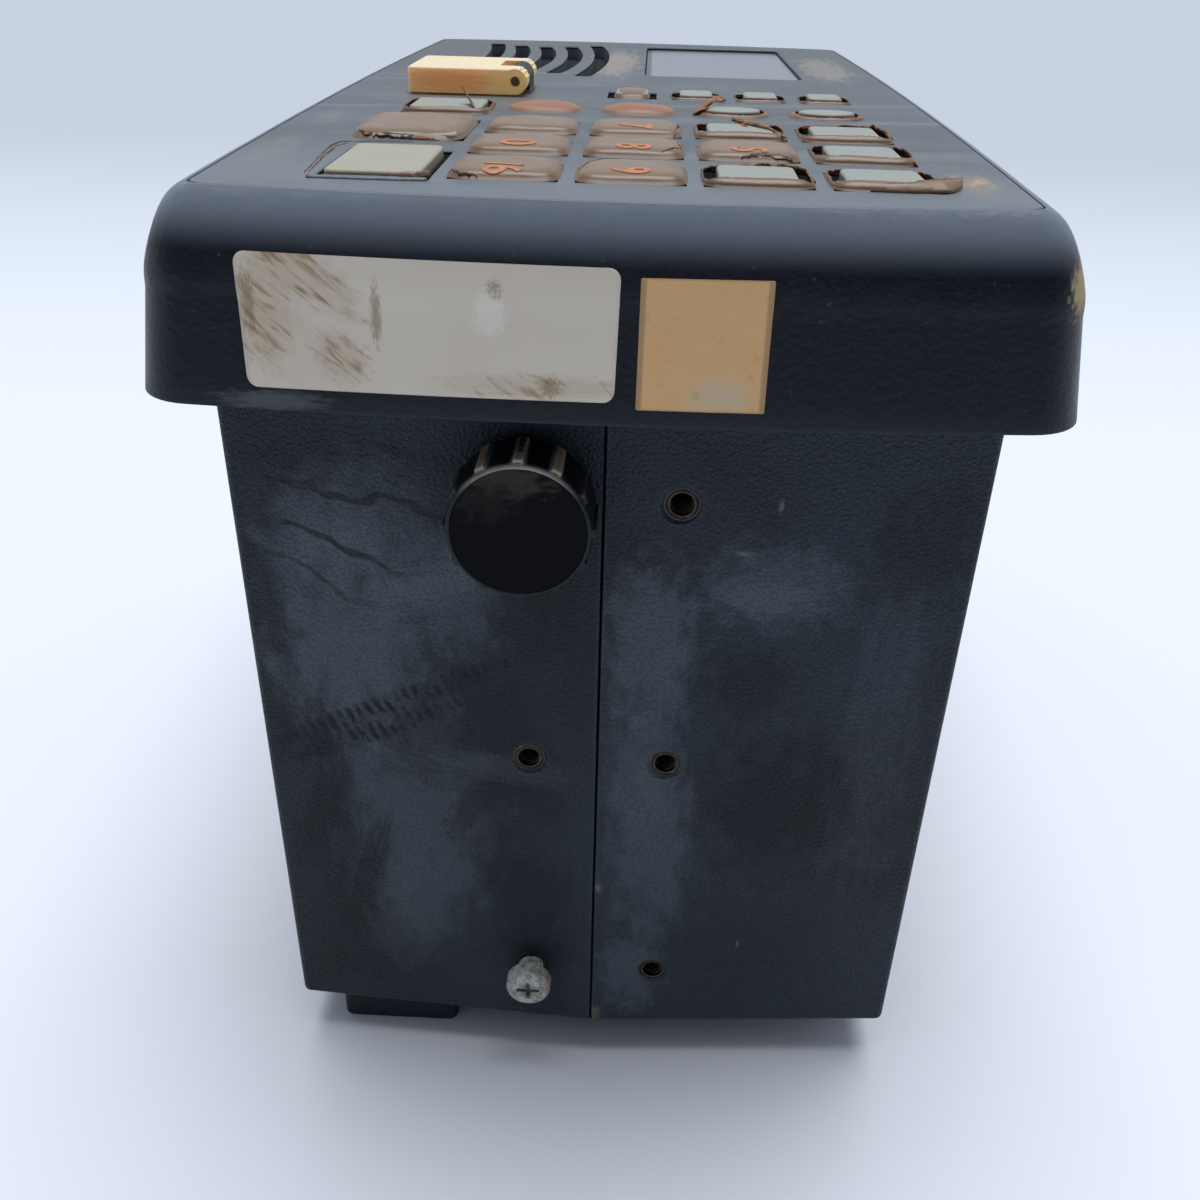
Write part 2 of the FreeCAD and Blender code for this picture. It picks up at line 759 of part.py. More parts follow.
def make_bezel():
    """Moulded hood: shoulder and skirt outside, rim round the shells inside."""
    rear = f"({FRONT} - bezel_height)"
    groove_line = rear_wire(-size("skirt_wall"), size(f"{rear} - spare"))
    groove_outer = extrude("bezel_groove_outer", outline("bezel_groove_line", groove_line),
                           "rim_depth + spare")
    groove_inner = body_prism("bezel_rim_outer", "rim_gap + rim_wall", f"{rear} - 2 * spare",
                              f"{FRONT} - spare")
    seat_line = overlay_wire(size("overlay_gap"), size(f"{FRONT} - overlay_thick"))
    tools = [
        body_prism("bezel_shell_room", "rim_gap", f"{rear} - spare", LEDGE),
        body_prism("bezel_inner_room", "0 - ledge_wide", f"{LEDGE} - spare", BENEATH),
        cut("bezel_groove", groove_outer, [groove_inner]),
        extrude("bezel_overlay_seat", outline("bezel_seat_line", seat_line), "overlay_thick + spare"),
        rounded_block("bezel_display_window", DISPLAY_X, DISPLAY_Y,
                      (f"{BENEATH} - spare", f"{FRONT} + spare"), "display_corner"),
    ]
    tools += windows("bezel_window", f"{BENEATH} - spare", f"{FRONT} + spare")
    tools += slots("bezel_slot", f"{BENEATH} - spare", f"{FRONT} + spare")
    lug_y = (f"{COVER_MIDDLE} - lug_half", f"{COVER_MIDDLE} + lug_half")
    additions = [cut("bezel_opened", bezel_hood(), tools)]
    additions.append(block("lug_foot", ("pin_x - lug_radius", "pin_x + lug_radius"), lug_y,
                           (f"{FRONT} - overlay_thick - bite", PIN_Z)))
    additions.append(round_bar("lug_eye", "y", ("pin_x", PIN_Z), "lug_radius", *lug_y))
    drills = [round_bar("lug_bore", "y", ("pin_x", PIN_Z), "pin_radius",
                        f"{lug_y[0]} - spare", f"{lug_y[1]} + spare")]
    for number, centre in enumerate(PILLARS, start=1):
        additions.append(round_bar(f"pillar_{number}", "z", centre, "pillar_radius",
                                   BOARD_TOP, f"{BENEATH} + bite"))
        drills.append(round_bar(f"pillar_bore_{number}", "z", centre, "small_screw",
                                f"{BOARD_TOP} - spare", f"{BENEATH} - bite"))
    for number, centre in enumerate(tie_centres(), start=1):
        additions.append(round_bar(f"tie_pillar_{number}", "z", centre, "bezel_boss",
                                   LEDGE, f"{BENEATH} + bite"))
        drills.append(round_bar(f"tie_bore_{number}", "z", centre, "tie_radius",
                                f"{LEDGE} - spare", f"{BENEATH} - spare"))
    keep(cut("bezel", join("bezel_solid", additions), drills), "front_bezel")


make_bezel()


# ---------------------------------------------------------------- overlay foil

def make_overlay():
    """Printed foil in the bezel's recess, open over keys, display, slots and hinge lug."""
    low = f"({FRONT} - overlay_thick)"
    through = (f"{low} - spare", f"{FRONT} + spare")
    foil = extrude("overlay_foil", outline("overlay_line", overlay_wire(0, size(low))),
                   "overlay_thick")
    tools = windows("overlay_window", *through)
    tools += slots("overlay_slot", *through)
    tools.append(rounded_block("overlay_display_window", DISPLAY_X, DISPLAY_Y, through,
                               "display_corner"))
    lug_x = grown(("pin_x", "pin_x"), "lug_radius + overlay_gap")
    lug_y = grown((COVER_MIDDLE, COVER_MIDDLE), "lug_half + overlay_gap")
    tools.append(block("overlay_lug_window", lug_x, lug_y, through))
    keep(cut("overlay", foil, tools), "front_overlay")


make_overlay()


# ---------------------------------------------------------------- keys, mat and keypad board

def make_key(node, x, y, cap, window, rise, shape):
    """Silicone key: cap through its window, flange under the front wall, contact pill below."""
    low = f"({BENEATH} - key_flange_thick)"
    top = f"({FRONT} + {rise})"
    stem = slab(f"{node}_cap", x, y, cap, f"{BENEATH} - bite", top, shape)
    if shape == "square":
        stem = soften(f"{node}_corners", stem, "key_corner", is_upright)
    stem = soften(f"{node}_edge", stem, "key_edge", at_height(top))
    foot = slab(f"{node}_flange", x, y, key_foot(cap, window), low, BENEATH, shape)
    pill = round_bar(f"{node}_pill", "z", (x, y), "pill_radius",
                     f"{low} - pill_high", f"{low} + bite")
    keep(join(f"{node}_solid", [stem, foot, pill]), node)


for key in KEYS:
    make_key(*key)


def make_key_mat():
    """Silicone sheet round the keys' flanges, against the front wall's underside."""
    low = f"({BENEATH} - mat_thick)"
    web = block("mat_web", ("0 - keypad_half_width", "keypad_half_width"),
                ("keypad_near_y", "keypad_far_y + mat_far_reach"), (low, BENEATH))
    through = (f"{low} - spare", f"{BENEATH} + spare")
    tools = []
    for node, x, y, cap, window, rise, shape in KEYS:
        tools.append(slab(f"mat_room_{node}", x, y, key_foot(cap, window, "mat_gap"), *through,
                          shape))
    for number, centre in enumerate(PILLARS, start=1):
        tools.append(round_bar(f"mat_pillar_room_{number}", "z", centre,
                               "pillar_radius + mat_gap", *through))
    keep(cut("mat", web, tools), "key_mat")


def make_keypad_board():
    """Contact board under the keys, on the bezel's pillars, with its screws."""
    board = block("keypad_panel", ("0 - keypad_half_width", "keypad_half_width"),
                  ("keypad_near_y", "keypad_far_y"), (BOARD_LOW, BOARD_TOP))
    holes = []
    screws = []
    for number, centre in enumerate(PILLARS, start=1):
        holes.append(round_bar(f"keypad_hole_{number}", "z", centre, "small_screw + hole_slack",
                               f"{BOARD_LOW} - spare", f"{BOARD_TOP} + spare"))
        shank = round_bar(f"keypad_screw_{number}", "z", centre, "small_screw - thread_slack",
                          f"{BOARD_LOW} - bite", f"{BOARD_TOP} + small_screw_reach")
        head = round_bar(f"keypad_head_{number}", "z", centre, "small_head",
                         f"{BOARD_LOW} - small_head_high", BOARD_LOW)
        screws.append(join(f"keypad_fastener_{number}", [shank, head]))
    keep(cut("keypad_drilled", board, holes), "keypad_board")
    keep(group("keypad_fasteners", screws), "keypad_screws")


make_key_mat()
make_keypad_board()


# ---------------------------------------------------------------- hinged cover

def make_cover():
    """Translucent cover over the distress key, turning on a pin through the bezel's lug."""
    low = f"({FRONT} + cover_lift)"
    top = f"({low} + cover_high)"
    y = ("cover_near_y", "(cover_near_y + cover_long)")

    def is_free_corner(edge):
        return is_upright(edge) and edge.Vertexes[0].X < size("pin_x - spare")

    shell = block("cover_block", ("cover_low_x", "pin_x"), y, (low, top))
    shell = soften("cover_corners", shell, "cover_corner", is_free_corner)
    shell = soften("cover_edges", shell, "cover_edge", at_height(top))
    knuckle = round_bar("cover_knuckle", "y", ("pin_x", PIN_Z), "cover_high / 2", *y)
    inside = block("cover_inside",
                   ("cover_low_x + cover_wall", "pin_x - cover_high / 2 - cover_pin_wall"),
                   grown(y, "0 - cover_wall"), (f"{low} - spare", f"{top} - cover_wall"))
    notch_y = grown((COVER_MIDDLE, COVER_MIDDLE), "lug_half + lug_gap")
    notch = block("cover_notch", ("pin_x - lug_radius - lug_room", "pin_x + cover_high"), notch_y,
                  (f"{low} - spare", f"{top} + spare"))
    bore = round_bar("cover_bore", "y", ("pin_x", PIN_Z), "pin_radius + pin_clearance",
                     f"{y[0]} - spare", f"{y[1]} + spare")
    keep(cut("cover", join("cover_solid", [shell, knuckle]), [inside, notch, bore]),
         "distress_cover")
    keep(round_bar("cover_pin", "y", ("pin_x", PIN_Z), "pin_radius",
                   f"{y[0]} + pin_inset", f"{y[1]} - pin_inset"), "hinge_pin")


make_cover()


# ---------------------------------------------------------------- display, felt and loudspeaker

def make_display():
    """Clear lens in the window, on the display module screwed under the front wall."""
    lens = rounded_block("lens", grown(DISPLAY_X, "0 - lens_gap"), grown(DISPLAY_Y, "0 - lens_gap"),
                         (BENEATH, f"{FRONT} - lens_recess"), "display_corner - lens_gap")
    keep(lens, "display_window")
    module_x = grown(DISPLAY_X, "module_margin")
    module_y = grown(DISPLAY_Y, "module_margin")
    frame = block("module_frame", module_x, module_y, (f"{BENEATH} - module_thick", BENEATH))
    keep(frame, "display_module")


def make_speaker():
    """Dust felt behind the slots and a loudspeaker against it."""
    felt_low = f"({BENEATH} - felt_thick)"
    y = "slot_middle_y"
    last_x = f"slot_first_x + {len(SLOT_SHORTER) - 1} * slot_pitch + slot_bulge"
    felt_y = grown((y, y), "slot_long / 2 + felt_margin")
    keep(block("felt", ("slot_first_x - slot_width", f"{last_x} + slot_width"), felt_y,
               (felt_low, BENEATH)), "speaker_felt")
    rim_low = f"({felt_low} - speaker_rim)"
    cone_low = f"({rim_low} - speaker_cone)"
    centre = ("speaker_x", y)
    rim = round_bar("speaker_ring", "z", centre, "speaker_radius", rim_low, felt_low)
    basket = round_bar("speaker_basket", "z", centre, "speaker_magnet_radius - speaker_roll",
                       cone_low, rim_low, "speaker_radius - speaker_edge")
    hollow = round_bar("speaker_hollow", "z", centre, "speaker_neck", f"{cone_low} + speaker_roll",
                       f"{felt_low} + bite", "speaker_radius - speaker_edge - speaker_roll")
    magnet = round_bar("speaker_magnet_body", "z", centre, "speaker_magnet_radius",
                       f"{cone_low} - speaker_magnet", f"{cone_low} + bite")
    keep(cut("speaker", join("speaker_frame", [rim, basket, magnet]), [hollow]), "loudspeaker")


make_display()
make_speaker()


# ---------------------------------------------------------------- shells

TERMINAL_MIDDLE = "(terminal_low_x + terminal_high_x) / 2"
TERMINAL_SCREWS = [(TERMINAL_MIDDLE, f"{sign} * (terminal_half_length - terminal_screw_in)")
                   for sign in (-1, 1)]
INSERT_DEPTHS = ("insert_front_depth", "insert_mid_depth", "insert_rear_depth")
SINK_X = ("sink_low_x", "sink_high_x")
SINK_Y = ("sink_near_y", "sink_far_y")
BAY_X = ("bay_low_x", "bay_high_x")
BAY_Y = ("bay_near_y", "bay_far_y")


def end_face(x):
    """Distance from the middle to an end face at a distance x from the seam."""
    return f"(body_half_length - body_end_fall * ({x}) / body_half_width)"


def span(end_sign, low, high):
    """Two distances from the middle towards the near (-1) or far (1) end, in order along Y."""
    if end_sign < 0:
        return (f"0 - ({high})", f"0 - ({low})")
    return (low, high)


def sketch_outline(body, name, height, points):
    """A closed sketch parallel to the body's XY plane, its corners bound to the sheet."""
    sketch = body.newObject("Sketcher::SketchObject", name)
    plane = [item for item in body.Origin.OriginFeatures if item.Role == "XY_Plane"][0]
    sketch.AttachmentSupport = (plane, [""])
    sketch.MapMode = "FlatFace"
    sketch.setExpression("AttachmentOffset.Base.z", cell(height))
    corners = [Vec(size(x), size(y), 0) for x, y in points]
    for number, start in enumerate(corners):
        sketch.addGeometry(Part.LineSegment(start, corners[(number + 1) % len(corners)]))
    for number in range(len(corners)):
        after = (number + 1) % len(corners)
        sketch.addConstraint(Sketcher.Constraint("Coincident", number, 2, after, 1))
    for number, (x, y) in enumerate(points):
        for kind, formula in (("DistanceX", x), ("DistanceY", y)):
            value = size(formula)
            if abs(value) < 1e-9:
                axis = -2 if kind == "DistanceX" else -1
                sketch.addConstraint(Sketcher.Constraint("PointOnObject", number, 1, axis))
                continue
            index = sketch.addConstraint(Sketcher.Constraint(kind, -1, 1, number, 1, value))
            sketch.setExpression(f"Constraints[{index}]", cell(formula))
    return sketch


def half_plan(sign, inward):
    """Plan corners of one half of the body, drawn in by a formula; sign is its side of the seam."""
    half_width = f"{sign} * (body_half_width - ({inward}))"
    at_seam = f"(body_half_length - ({inward}))"
    at_side = f"({at_seam} - body_end_fall)"
    return [("0", f"0 - {at_seam}"), (half_width, f"0 - {at_side}"),
            (half_width, at_side), ("0", at_seam)]


def shell_body(side, sign):
    """Half shell as a padded plan, hollowed from the front, with softened outer edges."""
    body = doc.addObject("PartDesign::Body", f"{side}_shell_body")
    plan = sketch_outline(body, f"{side}_plan", REAR, half_plan(sign, "0"))
    pad = body.newObject("PartDesign::Pad", f"{side}_pad")
    pad.Profile = plan
    pad.setExpression("Length", cell(f"{SHELL_TOP} - {REAR}"))
    doc.recompute()
    edges = []
    for number, edge in enumerate(pad.Shape.Edges, start=1):
        outer = abs(edge.CenterOfMass.x) > 1 and edge.CenterOfMass.z < size(SHELL_TOP) - 1
        if outer:
            edges.append(f"Edge{number}")
    fillet = body.newObject("PartDesign::Fillet", f"{side}_soft_edges")
    fillet.Base = (pad, edges)
    fillet.setExpression("Radius", cell("shell_edge"))
    hollow = sketch_outline(body, f"{side}_hollow_plan", REAR_INNER,
                            half_plan(sign, "shell_wall"))
    pocket = body.newObject("PartDesign::Pocket", f"{side}_hollow")
    pocket.Profile = hollow
    pocket.Reversed = True
    pocket.setExpression("Length", cell(f"{SHELL_TOP} - {REAR_INNER} + spare"))
    doc.recompute()
    return body


def seam_tools(side):
    """Small chamfers that leave a groove along the seam on both ends."""
    tools = []
    wide = size("seam_groove")
    low = size(f"{REAR} - spare")
    for sign in (-1, 1):
        edge = sign * size("body_half_length + bite")
        root = sign * size("body_half_length - seam_groove_deep")
        profile = line_wire([Vec(-wide, edge, low), Vec(wide, edge, low), Vec(0, root, low)])
        cutter = outline(f"{side}_seam_line_{sign + 2}", profile)
        tools.append(extrude(f"{side}_seam_{sign + 2}", cutter, f"{SHELL_TOP} - {REAR} + 2 * spare"))
    return tools


def insert_bosses(side, sign, end_sign):
    """Bosses behind an end wall and the holes for their inserts, with sunk mouths."""
    face = end_face("insert_offset")
    inner = f"({face} - insert_recess - insert_length)"
    bosses = []
    holes = []
    for number, depth in enumerate(INSERT_DEPTHS, start=1):
        centre = (f"{sign} * insert_offset", f"({FRONT} - {depth})")
        name = f"{side}_{end_sign + 2}_{number}"
        bosses.append(round_bar(f"{name}_boss", "y", centre, "insert_radius + boss_wall",
                                *span(end_sign, inner, f"{face} - boss_setback")))
        holes.append(round_bar(f"{name}_hole", "y", centre, "insert_radius",
                               *span(end_sign, f"{inner} - spare", f"{face} + spare")))
        radii = ["insert_radius", "insert_radius + insert_sink + spare"][::end_sign]
        holes.append(round_bar(f"{name}_mouth", "y", centre, radii[0],
                               *span(end_sign, f"{face} - insert_sink", f"{face} + spare"),
                               radii[1]))
    return bosses, holes


def tie_bosses(side, sign):
    """Tubes for the tie screws, wider at their feet, and the sunk holes through them."""
    bosses = []
    holes = []
    for number, centre in enumerate(tie_centres(), start=1):
        if CORNERS[number - 1][0] != sign:
            continue
        bosses.append(round_bar(f"{side}_tie_boss_{number}", "z", centre, "tie_hole + tie_wall",
                                f"{REAR} + spare", SHELL_TOP))
        bosses.append(round_bar(f"{side}_tie_foot_{number}", "z", centre, "tie_boss",
                                f"{REAR} + spare", f"{REAR} + tie_sink + shell_wall"))
        holes.append(round_bar(f"{side}_tie_hole_{number}", "z", centre, "tie_hole",
                               f"{REAR} - spare", f"{SHELL_TOP} + spare"))
        holes.append(round_bar(f"{side}_tie_sink_{number}", "z", centre, "tie_head + hole_slack",
                               f"{REAR} - spare", f"{REAR} + tie_sink"))
    return bosses, holes


def make_shell(side, sign):
    """Finishes a half shell with bosses, drilled holes and its half of the rear windows."""
    additions = [shell_body(side, sign)]
    rear = (f"{REAR} - spare", f"{REAR_INNER} + spare")
    holes = [block(f"{side}_sink_window", grown(SINK_X, "0 - sink_lap"),
                   grown(SINK_Y, "0 - sink_lap"), rear),
             block(f"{side}_bay_window", BAY_X, BAY_Y, rear)]
    holes += seam_tools(side)
    for bosses, drills in (insert_bosses(side, sign, -1), insert_bosses(side, sign, 1),
                           tie_bosses(side, sign)):
        additions += bosses
        holes += drills
    if sign < 0:
        for number in (-1, 0, 1):
            feed = (TERMINAL_MIDDLE, f"{number} * terminal_slot_pitch")
            holes.append(round_bar(f"terminal_feed_{number + 2}", "z", feed, "feed_radius", *rear))
        for number, centre in enumerate(TERMINAL_SCREWS, start=1):
            holes.append(round_bar(f"terminal_screw_hole_{number}", "z", centre,
                                   "terminal_screw", *rear))
    keep(cut(f"{side}_finished", join(f"{side}_joined", additions), holes), f"{side}_shell")


make_shell("lower", -1)
make_shell("upper", 1)


def make_seals():
    """Gasket on the shells' front edge, and strips that back the seam on both ends."""
    outer = body_prism("gasket_outer", "0 - gasket_inset", SHELL_TOP, LEDGE)
    inner = body_prism("gasket_inner", "gasket_inset - shell_wall", f"{SHELL_TOP} - spare",
                       f"{LEDGE} + spare")
    bores = [round_bar(f"gasket_bore_{number}", "z", centre, "tie_hole", f"{SHELL_TOP} - spare",
                       f"{LEDGE} + spare")
             for number, centre in enumerate(tie_centres(), start=1)]
    keep(cut("gasket", outer, [inner, *bores]), "bezel_gasket")
    ring = body_prism("seal_outer", "0 - shell_wall", REAR_INNER, f"{SHELL_TOP} - bite")
    core = body_prism("seal_core", "0 - shell_wall - seal_thick", f"{REAR_INNER} - spare", SHELL_TOP)
    spans = [block(f"seal_span_{end_sign + 2}", ("0 - seal_half", "seal_half"),
                   span(end_sign, "seal_from", "body_half_length"), (REAR_INNER, SHELL_TOP))
             for end_sign in (-1, 1)]
    seals = doc.addObject("Part::Common", "seals")
    seals.Base = cut("seal_walls", ring, [core])
    seals.Tool = group("seal_spans", spans)
    keep(seals, "seam_seals")


make_seals()


# ---------------------------------------------------------------- inserts, knobs and screws

def make_inserts():
    """Threaded brass inserts, pressed into the bosses of both shells from outside."""
    outer = f"({end_face('insert_offset')} - insert_recess)"
    inner = f"({outer} - insert_length)"
    tubes = []
    for end_sign, sign in CORNERS:
        for number, depth in enumerate(INSERT_DEPTHS, start=1):
            centre = (f"{sign} * insert_offset", f"({FRONT} - {depth})")
            name = f"insert_{end_sign + 2}_{sign + 2}_{number}"
            body = round_bar(f"{name}_body", "y", centre, "insert_radius",
                             *span(end_sign, inner, outer))
            bore = round_bar(f"{name}_bore", "y", centre, "insert_bore",
                             *span(end_sign, f"{inner} - spare", f"{outer} + spare"))
            tubes.append(cut(name, body, [bore]))
    keep(group("inserts", tubes), "thread_inserts")


def make_knob_rib(name, end_sign, x, z, ends, turn):
    """One grip rib on a knob's side, at a turn in degrees about its axis."""
    rib = doc.addObject("Part::Box", name)
    rib.setExpression("Length", cell("knob_rib_high + knob_rib_root"))
    rib.setExpression("Width", cell(f"({ends[1]}) - ({ends[0]})"))
    rib.setExpression("Height", cell("knob_rib_wide"))
    rib.Placement = FreeCAD.Placement(Vec(), FreeCAD.Rotation(Vec(0, 1, 0), turn))
    reach = "(knob_radius - knob_rib_root)"
    half = "(knob_rib_wide / 2)"
    along = cos(radians(turn))
    across = sin(radians(turn))
    rib.setExpression("Placement.Base.x", cell(f"{x} + {reach} * {along} - {half} * {across}"))
    rib.setExpression("Placement.Base.y", cell(span(end_sign, *ends)[0]))
    rib.setExpression("Placement.Base.z", cell(f"{z} - {reach} * {across} - {half} * {along}"))
    return rib


def make_knob(end, end_sign):
    """Clamp knob: ribbed head, inset cap disc and a stud that runs in the front insert."""
    x = "(0 - insert_offset)"
    z = f"({FRONT} - insert_front_depth)"
    seat = f"({end_face('insert_offset - knob_radius')} + knob_gap)"
    face = f"({seat} + knob_height)"
    cap_top = f"({face} - knob_cap_inset)"
    cap_low = f"({cap_top} - knob_cap_thick)"
    stud_top = f"({cap_low} - stud_cover)"

    def bar(name, radius, low, high, top_radius=None):
        if top_radius is not None and end_sign < 0:
            radius, top_radius = top_radius, radius
        return round_bar(f"{end}_{name}", "y", (x, z), radius, *span(end_sign, low, high), top_radius)

    solids = [bar("knob_base", "knob_radius", seat, f"{face} - knob_bevel"),
              bar("knob_rim", "knob_radius", f"{face} - knob_bevel", face,
                  "knob_radius - knob_bevel / 2")]
    count = int(size("knob_rib_count"))
    rib_ends = (f"{seat} + knob_rib_start", f"{face} - knob_bevel")
    for number in range(count):
        solids.append(make_knob_rib(f"{end}_knob_rib_{number + 1}", end_sign, x, z, rib_ends,
                                    number * 360 / count))
    holes = [bar("cap_seat", "knob_cap_radius", cap_low, f"{face} + spare"),
             bar("stud_hole", "stud_radius", f"{seat} - spare", stud_top)]
    keep(cut(f"{end}_knob_head", join(f"{end}_knob_solid", solids), holes), f"{end}_knob")
    keep(bar("cap_disc", "knob_cap_radius", cap_low, cap_top), f"{end}_knob_cap")
    keep(bar("stud_rod", "stud_radius", f"{seat} - stud_reach", stud_top), f"{end}_knob_stud")


def make_clamp_screw():
    """Loose pan head screw in the rear hole of the near end, a few turns out."""
    x = "(0 - insert_offset)"
    z = f"({FRONT} - insert_rear_depth)"
    face = end_face("insert_offset")
    under_head = f"({face} + screw_stand)"
    top = f"({under_head} + screw_head_high)"
    thread = round_bar("clamp_thread", "y", (x, z), "insert_bore - thread_slack",
                       *span(-1, f"{face} - screw_thread_in", face))
    shank = round_bar("clamp_shank", "y", (x, z), "screw_shank",
                      *span(-1, f"{face} - bite", under_head))
    head = round_bar("clamp_head", "y", (x, z), "screw_head_radius", *span(-1, under_head, top))
    head = soften("clamp_head_round", head, "screw_head_round",
                  lambda edge: edge.BoundBox.YMax < -size(f"{under_head} + spare"))
    deep = span(-1, f"{top} - cross_deep", f"{top} + spare")
    wide_x, thin_x = (grown((x, x), reach) for reach in ("cross_reach", "cross_half"))
    wide_z, thin_z = (grown((z, z), reach) for reach in ("cross_reach", "cross_half"))
    cross = [block("clamp_cross_1", wide_x, deep, thin_z),
             block("clamp_cross_2", thin_x, deep, wide_z)]
    keep(cut("clamp_solid", join("clamp_blank", [thread, shank, head]), cross), "clamp_screw")


def make_tie_screws():
    """Four long screws from the rear through both shells into the bezel."""
    seat = f"({REAR} + tie_sink)"
    head_low = f"({seat} - tie_head_high)"
    screws = []
    for number, centre in enumerate(tie_centres(), start=1):
        shank = round_bar(f"tie_shank_{number}", "z", centre, "tie_radius - thread_slack",
                          f"{seat} - bite", f"{BENEATH} - tie_end_gap")
        head = round_bar(f"tie_head_{number}", "z", centre, "tie_head", head_low, seat)
        slot = block(f"tie_slot_{number}", grown((centre[0], centre[0]), "tie_slot_half"),
                     grown((centre[1], centre[1]), "tie_head + spare"),
                     (f"{head_low} - spare", f"{head_low} + tie_slot_deep"))
        screws.append(cut(f"tie_screw_{number}", join(f"tie_blank_{number}", [shank, head]), [slot]))
    keep(group("tie_set", screws), "tie_screws")


make_inserts()
make_knob("near", -1)
make_knob("far", 1)
make_clamp_screw()
make_tie_screws()


# ---------------------------------------------------------------- rear: heat sink, bay, terminals

# the heat sink's pad, which comes through its window into the shells
PAD_X = grown(SINK_X, "0 - sink_lap - sink_pad_gap")
PAD_Y = grown(SINK_Y, "0 - sink_lap - sink_pad_gap")
BAY_FLOOR = f"({REAR} + bay_depth)"


def make_heat_sink():
    """Finned casting lapped over its window in the rear wall, with a pad through it."""
    root = "(stand_height - sink_base)"
    solids = [block("sink_base_plate", SINK_X, SINK_Y, (root, REAR)),
              block("sink_pad", PAD_X, PAD_Y, (f"{REAR} - bite", REAR_INNER))]
    count = int(size("fin_count"))
    for number in range(count):
        low = f"(sink_near_y + {number} * (sink_far_y - sink_near_y - fin_thick) / (fin_count - 1))"
        solids.append(block(f"sink_fin_{number + 1}", SINK_X, (low, f"{low} + fin_thick"),
                            ("0", f"{root} + fin_root")))
    keep(join("sink", solids), "heat_sink")


def make_connector_plate():
    """Recessed tray in the rear wall that carries the sockets."""
    outside = block("bay_outside", grown(BAY_X, "0 - bay_gap"), grown(BAY_Y, "0 - bay_gap"),
                    (REAR, f"{BAY_FLOOR} + bay_wall"))
    lip = block("bay_lip", grown(BAY_X, "bay_lap"), grown(BAY_Y, "bay_lap"),
                (REAR_INNER, f"{REAR_INNER} + bay_wall"))
    room = block("bay_room", grown(BAY_X, "0 - bay_gap - bay_wall"),
                 grown(BAY_Y, "0 - bay_gap - bay_wall"), (f"{REAR} - spare", BAY_FLOOR))
    keep(cut("bay", join("bay_solid", [outside, lip]), [room]), "connector_plate")


def make_sockets():
    """Two threaded aerial sockets and a shrouded power socket in the bay."""
    middle = "(bay_near_y + bay_far_y) / 2"
    mouth = f"({BAY_FLOOR} - aerial_reach)"
    sockets = []
    for number in range(2):
        name = f"aerial_{number + 1}"
        x = f"(aerial_first_x + {number} * aerial_pitch)"
        flange = block(f"{name}_flange", grown((x, x), "aerial_flange"),
                       grown((middle, middle), "aerial_flange"),
                       (f"{BAY_FLOOR} - aerial_thick", BAY_FLOOR))
        barrel = round_bar(f"{name}_barrel", "z", (x, middle), "aerial_radius", mouth,
                           f"{BAY_FLOOR} - bite")
        bore = round_bar(f"{name}_bore", "z", (x, middle), "aerial_bore", f"{mouth} - spare",
                         f"{BAY_FLOOR} - aerial_floor")
        core = round_bar(f"{name}_core", "z", (x, middle), "aerial_pin",
                         f"{mouth} + aerial_pin_inset", f"{BAY_FLOOR} - aerial_floor + bite")
        shell = cut(f"{name}_shell", join(f"{name}_blank", [flange, barrel]), [bore])
        sockets.append(join(f"{name}_socket", [shell, core]))
    keep(group("aerial_set", sockets), "aerial_sockets")
    power_mouth = f"({BAY_FLOOR} - power_reach)"
    outer = round_bar("power_shroud", "z", ("power_x", middle), "power_radius", power_mouth,
                      BAY_FLOOR)
    room = round_bar("power_room", "z", ("power_x", middle), "power_radius - power_wall",
                     f"{power_mouth} - spare", f"{BAY_FLOOR} - power_floor")
    solids = [cut("power_cup", outer, [room])]
    for number, turn in enumerate((45, 135, 225, 315), start=1):
        x = f"(power_x + power_pin_ring * {cos(radians(turn)):.6f})"
        y = f"({middle} + power_pin_ring * {sin(radians(turn)):.6f})"
        solids.append(round_bar(f"power_pin_{number}", "z", (x, y), "power_pin_radius",
                                f"{BAY_FLOOR} - power_pin_long",
                                f"{BAY_FLOOR} - power_floor + bite"))
    keep(join("power_solid", solids), "power_socket")


